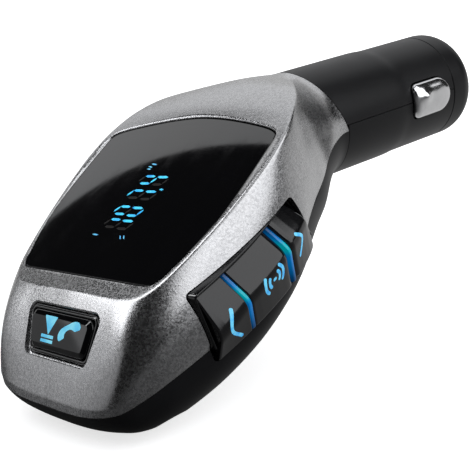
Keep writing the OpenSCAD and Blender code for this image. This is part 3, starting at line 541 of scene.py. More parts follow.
class Shading:
    """A material under work: a Principled shader and the nodes that vary it over the surface."""

    def __init__(self, name: str) -> None:
        """Starts a material.

        Args:
            name: Its name.
        """
        self.material = bpy.data.materials.new(name)
        self.material.use_nodes = True
        self.tree = self.material.node_tree
        self.tree.nodes.clear()
        self.shader = self.node("ShaderNodeBsdfPrincipled", {}, {})
        self.node("ShaderNodeOutputMaterial", {}, {"Surface": self.shader.outputs[0]})
        self.place = self.node("ShaderNodeTexCoord", {}, {}).outputs["Object"]

    def set(self, **values: object) -> "Shading":
        """Sets or links the shader's sockets.

        Args:
            values: Values by the sockets' names with underlines for spaces; a colour is three numbers.

        Returns:
            This material.
        """
        for name, value in values.items():
            self._feed(self.shader.inputs[name.replace("_", " ")], value)
        return self

    def _feed(self, socket: bpy.types.NodeSocket, value: object) -> None:
        """Links a value or socket to an input, or sets a plain one on it.

        Args:
            socket: The input.
            value: A value, a socket, or a plain number, vector or colour.
        """
        value = value.socket if isinstance(value, Value) else value
        if isinstance(value, bpy.types.NodeSocket):
            self.tree.links.new(value, socket)
        elif socket.type == "RGBA" and len(value) == 3:
            socket.default_value = (*value, 1.0)
        else:
            socket.default_value = value

    def node(self, kind: str, settings: dict[str, object], inputs: dict[str | int, object]) -> bpy.types.Node:
        """Adds a node.

        Args:
            kind: Blender's name for the node's type.
            settings: Settings by name.
            inputs: Values or links of its sockets, by name or number.

        Returns:
            The node.
        """
        made = self.tree.nodes.new(kind)
        for name, value in settings.items():
            setattr(made, name, value)
        for name, value in inputs.items():
            self._feed(made.inputs[name], value)
        return made

    def noise(self, size: float, detail: float = 3.0, rough: float = 0.5, stretch: Colour = (1, 1, 1)) -> Value:
        """Gives cloudy noise.

        Args:
            size: Size of its grains in millimetres.
            detail: How many finer layers it has.
            rough: Share that each finer layer has of the one before.
            stretch: Stretch of the grains along the three axes.

        Returns:
            The noise, from nought to one.
        """
        scale = tuple(1 / (size * MM * s) for s in stretch)
        at = self.node("ShaderNodeMapping", {}, {"Vector": self.place, "Scale": scale}).outputs[0]
        inputs = {"Vector": at, "Scale": 1.0, "Detail": detail, "Roughness": rough}
        return Value(self, self.node("ShaderNodeTexNoise", {}, inputs).outputs["Fac"])

    def grains(self, size: float) -> Value:
        """Gives a random number for each grain.

        Args:
            size: Size of the grains in millimetres.

        Returns:
            The number, from nought to one.
        """
        cells = self.node("ShaderNodeTexVoronoi", {}, {"Vector": self.place, "Scale": 1 / (size * MM)})
        white = self.node("ShaderNodeTexWhiteNoise", {}, {"Vector": cells.outputs["Position"]})
        return Value(self, white.outputs["Value"])

    def along(self, axis: Axis, place: Place) -> Value:
        """Gives a coordinate of a frame of reference.

        Args:
            axis: Which of its axes.
            place: The frame.

        Returns:
            The coordinate in millimetres.
        """
        row = place.turn[:, axis.value]
        inputs = {0: self.place, 1: tuple(row / MM)}
        dot = self.node("ShaderNodeVectorMath", {"operation": "DOT_PRODUCT"}, inputs)
        return Value(self, dot.outputs["Value"]) - float(place.origin @ row)

    def blend(self, share: Value, low: "Colour | bpy.types.NodeSocket",
            high: "Colour | bpy.types.NodeSocket") -> bpy.types.NodeSocket:
        """A colour between two, by a share."""
        return self.node("ShaderNodeMix", {"data_type": "RGBA"}, {0: share, 6: low, 7: high}).outputs[2]

    def relief(self, height: Value, depth: float) -> "Shading":
        """Gives the surface relief: a height from nought to one stands for a depth in millimetres."""
        made = self.node("ShaderNodeBump", {}, {"Height": height, "Distance": depth * MM})
        return self.set(Normal=made.outputs[0])


@dataclass(frozen=True)
class Finish:
    """A finish: its values, and the one material made from them."""

    name: str

    @cached_property
    def material(self) -> bpy.types.Material:
        """The material, made when it's first wanted.

        Returns:
            The material.
        """
        work = Shading(self.name)
        self.shade(work)
        return work.material

    def shade(self, work: Shading) -> None:
        """Adds the finish's nodes to its material."""
        raise NotImplementedError

    def dress(self, piece: bpy.types.Object) -> None:
        """Puts the finish on a piece."""
        piece.data.materials.clear()
        piece.data.materials.append(self.material)


@dataclass(frozen=True)
class FlakePaint(Finish):
    """Metal flake paint under a thin clear coat: each flake has its own tilt and tone."""

    dark: Colour
    light: Colour
    flake: float = 0.24
    roughness: float = 0.2

    def shade(self, work: Shading) -> None:
        """Varies tone and roughness from flake to flake, and more slowly from cloud to cloud.

        Args:
            work: The material under work.
        """
        flake, fine, cloud = work.grains(self.flake), work.noise(0.3, 1.0), work.noise(7.0)
        tone = flake * 0.6 + fine * 0.3 + cloud * 0.1
        work.set(Base_Color=work.blend(tone, self.dark, self.light), Metallic=1.0,
            Roughness=self.roughness + flake * 0.1 + cloud * 0.02, Coat_Weight=0.1, Coat_Roughness=0.2)
        work.relief(fine, 0.01)


@dataclass(frozen=True)
class SatinPlastic(Finish):
    """Moulded plastic with a fine spark-eroded grain and faint handling marks."""

    dark: Colour
    light: Colour
    roughness: float = 0.36
    shine: float = 0.25
    grain: float = 0.22

    def shade(self, work: Shading) -> None:
        """Marks vary the tone and the roughness; the grain gives the relief.

        Args:
            work: The material under work.
        """
        grain, marks = work.noise(self.grain, 2.0), work.noise(6.0, 5.0, 0.65)
        work.set(Base_Color=work.blend(marks, self.dark, self.light), Specular_IOR_Level=self.shine,
            Roughness=self.roughness - 0.06 + marks * 0.12 + grain * 0.06)
        work.relief(grain, 0.006)


@dataclass(frozen=True)
class PolishedAcrylic(Finish):
    """Polished black plastic with faint wipe marks."""

    colour: Colour
    roughness: float
    coat: float = 0.3

    def shade(self, work: Shading) -> None:
        """Wipe marks vary tone and roughness, and a slow ripple gives the relief.

        Args:
            work: The material under work.
        """
        wipe = work.noise(5.0, 6.0, 0.7, (1, 4, 1))
        work.set(Base_Color=work.blend(wipe, self.colour, tuple(2 * c for c in self.colour)), Coat_Weight=self.coat,
            Coat_Roughness=self.roughness, Roughness=self.roughness + wipe.ramp(0.45, 0.8) * 0.05)
        work.relief(work.noise(2.5, 1.0), 0.0006)


@dataclass(frozen=True)
class LitMark(Finish):
    """A lit or bright printed mark, uneven as light piped through plastic is."""

    dark: Colour
    light: Colour
    power: float
    grain: float = 1.2

    def shade(self, work: Shading) -> None:
        """The same uneven tone colours the surface and its glow."""
        tone = work.blend(work.noise(self.grain).ramp(0.3, 0.7), self.dark, self.light)
        work.set(Base_Color=tone, Emission_Color=tone, Emission_Strength=self.power,
            Roughness=0.25 + work.noise(0.5) * 0.1)


@dataclass(frozen=True)
class LightRod(Finish):
    """A light bar: deep blue at its ends, blue between, and teal where it bends at the ridge, a painted highlight.
    """

    ends: Colour
    middle: Colour
    # Teal of the painted highlight at the ridge.
    bend: Colour
    power: float
    highlight_height: float = 4.7

    def shade(self, work: Shading) -> None:
        """The tone follows the height over the parting plane; the teal at the ridge is a painted highlight in the
        tone and the glow.

        Args:
            work: The material under work.
        """
        height = work.along(Axis.Z, HEAD) + (work.noise(1.5) - 0.5) * 0.8
        share = (8.9 - height).ramp(0, 3.2) * (height + 3.2).ramp(0, 5.5)
        tone = work.blend(share, self.ends, self.middle)
        # Painted highlight: teal tone and glow round the ridge's height.
        tone = work.blend(1 - abs(height - self.highlight_height).ramp(0.2, 1.9), tone, self.bend)
        work.set(Base_Color=tone, Emission_Color=tone, Emission_Strength=self.power,
            Roughness=0.16 + work.noise(0.4) * 0.08)
        work.relief(work.noise(0.9), 0.004)


@dataclass(frozen=True)
class PlatedMetal(Finish):
    """Plated metal with fine drawing lines and small blemishes."""

    colour: Colour
    roughness: float

    def shade(self, work: Shading) -> None:
        """Drawing lines give the relief, and blemishes dull the tone.

        Args:
            work: The material under work.
        """
        lines, spots = work.noise(0.4, 4.0, 0.6, (1, 12, 1)), work.noise(1.2)
        work.set(Base_Color=work.blend(spots, tuple(0.86 * c for c in self.colour), self.colour), Metallic=1.0,
            Roughness=self.roughness + lines * 0.05 + spots.ramp(0.55, 0.8) * 0.06)
        work.relief(lines, 0.0012)


@dataclass(frozen=True)
class SolderMask(Finish):
    """A circuit board: solder mask over copper tracks, with tinned pads where they cross."""

    mask: Colour
    track: Colour
    pad: Colour

    def shade(self, work: Shading) -> None:
        """Tracks and pads follow waves along and across the head.

        Args:
            work: The material under work.
        """
        across, along = (work.along(Axis.X, HEAD) * 2.1).sine(), (work.along(Axis.Y, HEAD) * 1.7).sine()
        track = (abs(across) * 0.5 + abs(along) * 0.5).ramp(0.78, 0.84)
        pad = (abs(across) * abs(along)).ramp(0.92, 0.95)
        tone = work.blend(track, self.mask, self.track)
        work.set(Base_Color=work.blend(pad, tone, self.pad), Metallic=pad, Coat_Weight=0.4,
            Roughness=0.28 + work.noise(0.6) * 0.12)
        work.relief(track + work.noise(0.3) * 0.3, 0.03)


@dataclass(frozen=True)
class GrainedPlastic(Finish):
    """Plain moulded plastic, foam or ceramic: fine grain with cloudy changes of tone."""

    dark: Colour
    light: Colour
    roughness: float
    shine: float = 0.5

    def shade(self, work: Shading) -> None:
        """Clouds vary the tone, and the grain the roughness and relief.

        Args:
            work: The material under work.
        """
        tone, grain = work.noise(1.6, 4.0, 0.6), work.noise(0.2)
        work.set(Base_Color=work.blend(tone, self.dark, self.light), Specular_IOR_Level=self.shine,
            Roughness=self.roughness + grain * 0.12)
        work.relief(grain, 0.01)


@dataclass(frozen=True)
class CappedGlass(Finish):
    """The fuse: clear glass between two plated caps, by the place along the plug."""

    glass: Colour
    cap: Colour
    cap_ends: tuple[float, float] = (20.2, 30.1)

    def shade(self, work: Shading) -> None:
        """The caps are metal with turned rings, the glass is smooth.

        Args:
            work: The material under work.
        """
        y = work.along(Axis.Y, PLUG)
        cap = 1 - (y - self.cap_ends[0]).ramp(0, 0.2) * (1 - (y - self.cap_ends[1]).ramp(0, 0.2))
        rings = work.noise(0.3, 2.0, 0.5, (4, 1, 4))
        work.set(Base_Color=work.blend(cap, self.glass, self.cap), Metallic=cap,
            Roughness=0.06 + cap * 0.2 + rings * 0.05)
        work.relief(rings, 0.004)


@dataclass(frozen=True)
class StudioPaper(Finish):
    """Pale paper, white far behind the object by a painted glow; the object itself sees it dark, a painted shade,
    with a painted glow only behind and beside it.
    """

    tone: Colour = (0.92, 0.92, 0.92)

    def shade(self, work: Shading) -> None:
        """The painted glow follows the distance behind the object, along the camera's line of sight.

        Args:
            work: The material under work.
        """
        depth = work.along(Axis.Y, SIGHT)
        rays = work.node("ShaderNodeLightPath", {}, {})
        seen = Value(work, rays.outputs["Is Camera Ray"])
        # Painted light: for the camera the paper glows, less near the object and white far from it.
        far = depth.ramp(-60, 400) + (0 - depth).ramp(60, 500)
        glow = work.blend(far, (0.72, 0.72, 0.72), (1.0, 1.0, 1.0))
        beside = work.along(Axis.Y, PLUG).ramp(-66, -46)
        # Painted light and shade that the object sees: dark on the camera's side and before the nose, a glow behind
        # and beside it.
        painted_light_and_shade = work.blend(depth.ramp(-90, 47) * beside, (0.01, 0.01, 0.01), (0.5, 0.5, 0.5))
        fibre = work.noise(30.0)
        paper = work.blend(fibre, tuple(0.98 * c for c in self.tone), self.tone)
        # Painted shade: the paper is dark to every ray but the camera's.
        work.set(Base_Color=work.blend(seen, (0.05, 0.05, 0.05), paper), Roughness=0.7,
            Emission_Color=work.blend(seen, painted_light_and_shade, glow), Emission_Strength=1.0)


@dataclass(frozen=True)
class GlowPanel(Finish):
    """A diffusing panel lit from behind, a little uneven."""

    power: float

    def shade(self, work: Shading) -> None:
        """A black surface with an almost even glow."""
        tone = work.blend(work.noise(180.0), (0.94, 0.96, 1.0), (1.0, 1.0, 1.0))
        work.set(Base_Color=(0.02, 0.02, 0.02), Emission_Color=tone, Emission_Strength=self.power)


@dataclass(frozen=True)
class Finishes:
    """Every finish of the transmitter."""

    silver: Finish = FlakePaint("silver_paint", (0.33, 0.33, 0.335), (0.71, 0.71, 0.72))
    satin: Finish = SatinPlastic("satin_black", (0.004, 0.004, 0.005), (0.010, 0.010, 0.011))
    lens: Finish = PolishedAcrylic("window_acrylic", (0.002, 0.002, 0.0025), 0.03)
    keys: Finish = PolishedAcrylic("key_plastic", (0.004, 0.004, 0.0045), 0.14)
    cap: Finish = PolishedAcrylic("cap_gloss", (0.0015, 0.0015, 0.002), 0.04)
    rims: Finish = PolishedAcrylic("rim_gloss", (0.003, 0.003, 0.0035), 0.09, 0.8)
    numerals: Finish = LitMark("lit_numerals", (0.012, 0.33, 0.78), (0.05, 0.62, 0.86), 0.8)
    unlit: Finish = GrainedPlastic("unlit_strokes", (0.005, 0.004, 0.0035), (0.009, 0.007, 0.006), 0.3, 0.12)
    marks: Finish = LitMark("mark_print", (0.03, 0.34, 0.80), (0.16, 0.62, 0.86), 0.6)
    icons: Finish = LitMark("icon_print", (0.08, 0.50, 0.80), (0.24, 0.74, 0.90), 0.6, 2.5)
    bars: Finish = LightRod("light_rod", (0.0, 0.018, 0.07), (0.0, 0.16, 0.48), (0.0, 0.36, 0.42), 0.6)
    chrome: Finish = PlatedMetal("chrome", (0.86, 0.86, 0.87), 0.12)
    steel: Finish = PlatedMetal("steel", (0.62, 0.62, 0.61), 0.22)
    brass: Finish = PlatedMetal("brass", (0.78, 0.62, 0.33), 0.2)
    board: Finish = SolderMask("board_green", (0.008, 0.075, 0.035), (0.02, 0.16, 0.07), (0.62, 0.60, 0.55))
    dark: Finish = GrainedPlastic("dark_plastic", (0.012, 0.012, 0.013), (0.03, 0.03, 0.032), 0.45)
    switch: Finish = GrainedPlastic("switch_body", (0.5, 0.5, 0.46), (0.66, 0.66, 0.62), 0.4)
    parts: Finish = GrainedPlastic("board_parts", (0.10, 0.10, 0.11), (0.22, 0.22, 0.23), 0.35)
    tape: Finish = GrainedPlastic("foam_tape", (0.02, 0.02, 0.02), (0.05, 0.05, 0.05), 0.8)
    wire: Finish = GrainedPlastic("wire_cover", (0.45, 0.02, 0.02), (0.6, 0.04, 0.03), 0.4)
    glass: Finish = CappedGlass("fuse_glass", (0.75, 0.82, 0.84), (0.8, 0.78, 0.72))


class Size(IntEnum):
    """What a column of a station's row holds: x is a half width and v a place along the head."""

    PARTING_X = 0
    PARTING_V = 1
    EDGE_X = 2
    EDGE_V = 3
    EDGE_DROP = 4
    SPINE_V = 5
    SPINE_DROP = 6
    BULGE = 7
    ROUNDNESS = 8
    KEEL_V = 9
    KEEL_DEPTH = 10
    SQUARENESS = 11


@dataclass
class HeadForm:
    """The form that both shells of the head share, lofted through stations from the nose round to the neck.

    A station is a row of shares in the order of Size. Edge and spine are the plateau's. Places are shares of the
    head's length, half widths of half its width, and drops of the fall from the display plane to the neck. The
    roundness is the share of the neck's circle, and the squareness flattens the ellipse of the keel.
    """

    half_width: float = 25.0
    length: float = 71.1
    plateau: float = 11.7
    window_v: float = -53.54
    slope: float = 9.4
    keel: float = 12.39
    bulge: float = 1.62
    wall: float = 1.8
    inset: float = 0.3
    tilt: float = 23.0
    drop: float = 1.6
    lean: float = 20.5
    plug_r: float = 10.4
    edge_turn: float = 62.0
    ellipse: float = 2.1
    squaring: float = 0.6
    probe: float = 0.05
    row_probe: float = 0.3
    side_rows: int = 6
    half_rows: int = 11
    keel_rows: int = 8
    stations: tuple[tuple[float, ...], ...] = (
        (0, 1, 0, 0.795, 0, 0.795, 0, 0.2, 0, 0.87, 0.72, 0),
        (0.2, 1, 0.2, 0.795, 0.01, 0.776, 0, 0.2, 0, 0.86, 0.725, 0),
        (0.41, 0.996, 0.408, 0.795, 0.02, 0.754, 0, 0.25, 0, 0.846, 0.73, 0),
        (0.585, 0.983, 0.56, 0.792, 0.02, 0.724, 0, 0.5, 0, 0.826, 0.75, 0.2),
        (0.71, 0.96, 0.676, 0.783, 0.02, 0.689, 0, 0.8, 0, 0.8, 0.79, 0.6),
        (0.792, 0.917, 0.752, 0.765, 0.02, 0.654, 0, 0.95, 0, 0.766, 0.85, 1),
        (0.866, 0.855, 0.826, 0.726, 0.02, 0.612, 0, 1, 0, 0.724, 0.92, 1),
        (0.956, 0.745, 0.9, 0.647, 0.02, 0.556, 0, 0.88, 0, 0.66, 0.97, 0.8),
        (1.008, 0.619, 0.956, 0.564, 0.02, 0.492, 0, 0.76, 0, 0.59, 0.96, 0.5),
        (1, 0.506, 0.992, 0.473, 0.01, 0.429, 0, 0.7, 0, 0.513, 0.89, 0.2),
        (0.932, 0.415, 1, 0.388, 0, 0.366, 0, 0.65, 0, 0.436, 0.82, 0),
        (0.828, 0.352, 0.956, 0.308, 0, 0.302, -0.02, 0.65, 0, 0.366, 0.78, 0),
        (0.716, 0.276, 0.848, 0.235, 0.04, 0.232, -0.03, 0.7, 0, 0.288, 0.76, 0),
        (0.608, 0.194, 0.688, 0.169, 0.19, 0.165, 0.09, 0.94, 0, 0.218, 0.73, 0),
        (0.508, 0.121, 0.512, 0.105, 0.45, 0.1, 0.332, 1.3, 0.15, 0.155, 0.71, 0),
        (0.452, 0.056, 0.352, 0.048, 0.8, 0.046, 0.644, 1.5, 0.5, 0.096, 0.69, 0),
        (0.412, 0, 0.212, 0, 1.13, 0, 1, 1.65, 1, 0.048, 0.654, 0),
    )

    def __post_init__(self) -> None:
        """Works out the stations' sizes in millimetres, with a mirrored row before them and one more after."""
        fall = self.plane(0.0) - (self.plug_r + self.drop) / math.cos(math.radians(self.tilt))
        w, n, k, b = self.half_width, -self.length, -self.keel, self.bulge
        rows = np.array(self.stations) * [w, n, w, n, fall, n, fall, b, 1, n, k, 1]
        mirrored = np.isin(np.arange(len(Size)), (Size.PARTING_X, Size.EDGE_X))
        self.rows = np.vstack([rows[1] * np.where(mirrored, -1, 1), rows, 2 * rows[-1] - rows[-2]])
        self.last = len(rows) - 1
        self.parting_turn = -math.degrees(math.asin(self.drop / self.plug_r))
        line = self.station(np.linspace(0, self.last, 4 * self.last + 1))
        self.line = line[np.argsort(line[:, Size.PARTING_V])]

    def plane(self, v: np.ndarray | float) -> np.ndarray | float:
        """Height of the display plane over the parting plane at a place along the head."""
        return self.plateau + (v - self.window_v) * math.tan(math.radians(self.slope))

    def outline_x(self, v: np.ndarray) -> np.ndarray:
        """Half width of the parting outline at a place along the head."""
        return np.interp(v, self.line[:, Size.PARTING_V], self.line[:, Size.PARTING_X])

    def station(self, s: np.ndarray) -> np.ndarray:
        """Sizes at places among the stations, one unit apart, on a cubic through their neighbours."""
        i = np.clip(np.floor(s).astype(int), 0, self.last - 1)
        return cubic(*(self.rows[i + k] for k in range(4)), (s - i)[..., None])

    def around(self, s: np.ndarray) -> tuple[np.ndarray, np.ndarray]:
        """The places a little before and a little after others, within the stations."""
        return np.maximum(s - self.probe, 0), np.minimum(s + self.probe, self.last)

    def outward(self, s: np.ndarray) -> np.ndarray:
        """Outward direction, in plan, of the parting outline: square to the way along it.

        Args:
            s: Places among the stations.

        Returns:
            Unit vectors as pairs.
        """
        before, after = (self.station(at)[..., :2] for at in self.around(s))
        along = np.where((s == 0)[..., None], [1.0, 0.0], after - before)
        square = np.stack([along[..., 1], -along[..., 0]], -1)
        return square / np.linalg.norm(square, axis=-1)[..., None]

    def neck(self, v: np.ndarray, turn: np.ndarray, lean: float, r: float) -> np.ndarray:
        """Points, in the head's frame, of a circle round the plug's axis on a plane that leans over the head.

        Args:
            v: Places of the plane along the head.
            turn: Angles round the circle in degrees, from the right.
            lean: Lean of the plane in degrees.
            r: Radius of the circle.

        Returns:
            The points.
        """
        c, d = math.cos(math.radians(self.tilt)), math.sin(math.radians(self.tilt))
        up = r * np.sin(np.radians(turn)) + self.drop
        y = v * c - math.tan(math.radians(lean)) * up
        return np.stack([r * np.cos(np.radians(turn)), y * c + up * d, -y * d + up * c], -1)

    @staticmethod
    def necked(row: np.ndarray, loft: np.ndarray, circle: np.ndarray) -> np.ndarray:
        """Mixes lofted points with the neck's by the stations' roundness."""
        share = row[..., Size.ROUNDNESS, None]
        return loft * (1 - share) + circle * share

    @staticmethod
    def mirrored(points: np.ndarray, left: np.ndarray) -> np.ndarray:
        """Mirrors the points of the left half."""
        return points * np.where(left, -1.0, 1.0)[..., None] ** np.array([1, 0, 0])

    def side(self, s: np.ndarray, t: np.ndarray, r: float) -> np.ndarray:
        """Points of the side wall: the chord from the parting line to the plateau's edge, pushed out by a parabola.

        Args:
            s: Places among the stations.
            t: Shares of the way up the wall.
            r: Radius of the neck.

        Returns:
            The points.
        """
        row, out = self.station(s), self.outward(s)
        start = np.stack([row[..., Size.PARTING_X], row[..., Size.PARTING_V], 0 * s], -1)
        height = self.plane(row[..., Size.EDGE_V]) - row[..., Size.EDGE_DROP]
        chord = np.stack([row[..., Size.EDGE_X], row[..., Size.EDGE_V], height], -1) - start
        reach = (chord[..., :2] * out).sum(-1)
        swell = row[..., Size.BULGE] * 4 * t * (1 - t) / np.hypot(reach, chord[..., 2])
        push = np.stack([out[..., 0] * chord[..., 2], out[..., 1] * chord[..., 2], -reach], -1)
        loft = start + chord * t[..., None] + push * swell[..., None]
        turn = self.parting_turn + (self.edge_turn - self.parting_turn) * t
        return self.necked(row, loft, self.neck(row[..., Size.PARTING_V], turn, self.lean, r))

    def top(self, s: np.ndarray, k: np.ndarray, r: float) -> np.ndarray:
        """Points of the plateau: from its edge, k 1, to the spine, k 0, on a parabola.

        Args:
            s: Places among the stations.
            k: Shares of the way out from the spine.
            r: Radius of the neck.

        Returns:
            The points.
        """
        row, edge, crown = self.station(s), self.side(s, np.ones_like(s), r), 1 - k * k
        v = edge[..., 1] + (row[..., Size.SPINE_V] - edge[..., 1]) * crown
        drop = (self.plane(edge[..., 1]) - edge[..., 2]) * (1 - crown) + row[..., Size.SPINE_DROP] * crown
        loft = np.stack([edge[..., 0] * k, v, self.plane(v) - drop], -1)
        turn = self.edge_turn + (90 - self.edge_turn) * (1 - k)
        return self.necked(row, loft, self.neck(row[..., Size.PARTING_V], turn, self.lean, r))

    def top_skin(self, s: np.ndarray, j: np.ndarray, r: float) -> np.ndarray:
        """Points of the silver skin.

        Args:
            s: Places among the stations.
            j: Rows: 0 is the right parting line, half_rows the spine.
            r: Radius of the neck.

        Returns:
            The points.
        """
        near = np.minimum(j, 2 * self.half_rows - j)
        side = self.side(s, np.minimum(near / self.side_rows, 1.0), r)
        k = 1 - np.maximum(near - self.side_rows, 0) / (self.half_rows - self.side_rows)
        points = np.where((near <= self.side_rows)[..., None], side, self.top(s, k, r))
        return self.mirrored(points, j > self.half_rows)

    def keel_skin(self, s: np.ndarray, j: np.ndarray, r: float) -> np.ndarray:
        """Points of the black skin, on a squared quarter of an ellipse.

        Args:
            s: Places among the stations.
            j: Rows: 0 is the right parting line, keel_rows the keel.
            r: Radius of the neck.

        Returns:
            The points.
        """
        near = np.minimum(j, 2 * self.keel_rows - j)
        row, out = self.station(s), self.outward(s)
        turn = np.radians(90 * near / self.keel_rows)
        power = 2 / (self.ellipse + self.squaring * row[..., Size.SQUARENESS])
        c, d = np.maximum(np.cos(turn), 0) ** power, np.sin(turn) ** power
        inset = self.inset * (1 - row[..., Size.ROUNDNESS])
        x, v = row[..., Size.PARTING_X] - out[..., 0] * inset, row[..., Size.PARTING_V] - out[..., 1] * inset
        loft = np.stack([x * c, v + (row[..., Size.KEEL_V] - v) * (1 - c), row[..., Size.KEEL_DEPTH] * d], -1)
        turn = self.parting_turn - (90 + self.parting_turn) * near / self.keel_rows
        points = self.necked(row, loft, self.neck(row[..., Size.PARTING_V], turn, 0, r))
        return self.mirrored(points, j > self.keel_rows)

    def inner(self, skin: Callable[..., np.ndarray], s: np.ndarray, j: np.ndarray, last: int, nose_row: int,
            way: float) -> np.ndarray:
        """The inner wall's points behind a skin's, square to it; its rims stay on the parting plane and the seam.

        Args:
            skin: The skin's function of place, row and radius.
            s: Places among the stations.
            j: Rows.
            last: The last row, on the left parting line.
            nose_row: The row that the nose's middle is taken from.
            way: 1 or -1, for the skin's own direction inwards.

        Returns:
            Points as places by rows.
        """
        j = np.where(s == 0, np.minimum(np.minimum(j, last - j), nose_row), j)
        before, after = self.around(s)
        along = skin(after, j, self.plug_r) - skin(before, j, self.plug_r)
        along = np.where((s == 0)[..., None], [1.0, 0.0, 0.0], along)
        up = np.where(s == 0, j, np.minimum(j + self.row_probe, last))
        across = skin(s, up, self.plug_r) - skin(s, np.maximum(j - self.row_probe, 0), self.plug_r)
        n = np.cross(along, across)
        n /= np.maximum(np.linalg.norm(n, axis=-1), 1e-9)[..., None]
        points, out = skin(s, j, self.plug_r), self.outward(s)
        rim = points - np.stack([np.where(j == 0, 1, -1) * out[..., 0], out[..., 1], 0 * s], -1) * self.wall
        deep = np.where(((j == 0) | (j == last))[..., None], rim, points + way * n * self.wall)
        return np.where((s == self.last)[..., None], skin(s, j, self.plug_r - self.wall), deep)


FORM = HeadForm()


@dataclass
class Assembly:
    """What every sub-assembly has: the finishes, and a way to hand over its pieces."""

    finishes: Finishes

    def keep(self, piece: bpy.types.Object, finish: Finish, body: Body = Body.HOUSING, slot: Slot | None = None,
            nodes: Sequence[str] = ()) -> bpy.types.Object:
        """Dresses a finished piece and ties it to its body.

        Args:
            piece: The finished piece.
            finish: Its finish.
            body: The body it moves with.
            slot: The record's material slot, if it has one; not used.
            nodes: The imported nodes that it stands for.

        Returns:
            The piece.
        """
        finish.dress(piece)
        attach(piece, body.value)
        if nodes:
            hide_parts(*nodes)
        LOG.info("%s: %d faces on %s", piece.name, len(piece.data.polygons), body.value)
        return piece


def window_outline() -> np.ndarray:
    """Outline of the window in its own frame: a smooth curve through shares of its half width and its height.

    Returns:
        Half widths and places up the slope as rows.
    """
    share = np.array([[0.74, 0], [0.795, 0.012], [0.845, 0.05], [0.885, 0.12], [0.93, 0.2], [0.965, 0.29],
        [0.99, 0.38], [1, 0.5], [0.995, 0.65], [0.985, 0.78], [0.978, 0.84], [0.955, 0.882], [0.9, 0.905],
        [0.8, 0.926], [0.61, 0.953], [0.39, 0.978], [0.2, 0.993], [0, 1]])
    right = share * WINDOW_SIZE
    left = right[-2::-1] * [-1, 1]
    curve = through(np.vstack([right, left]), np.linspace(0, 2 * len(right) - 2, 24 * (len(right) - 1) + 1))
    return spaced(curve, 0.45)


def side_outline() -> np.ndarray:
    """Outline of the keys' opening, as places along the head and heights."""
    front, rear = list(zip(KEYS_FRONT, KEYS_HEIGHTS)), list(zip(KEYS_REAR, KEYS_HEIGHTS))
    return rounded(front + rear[::-1], 0.9)


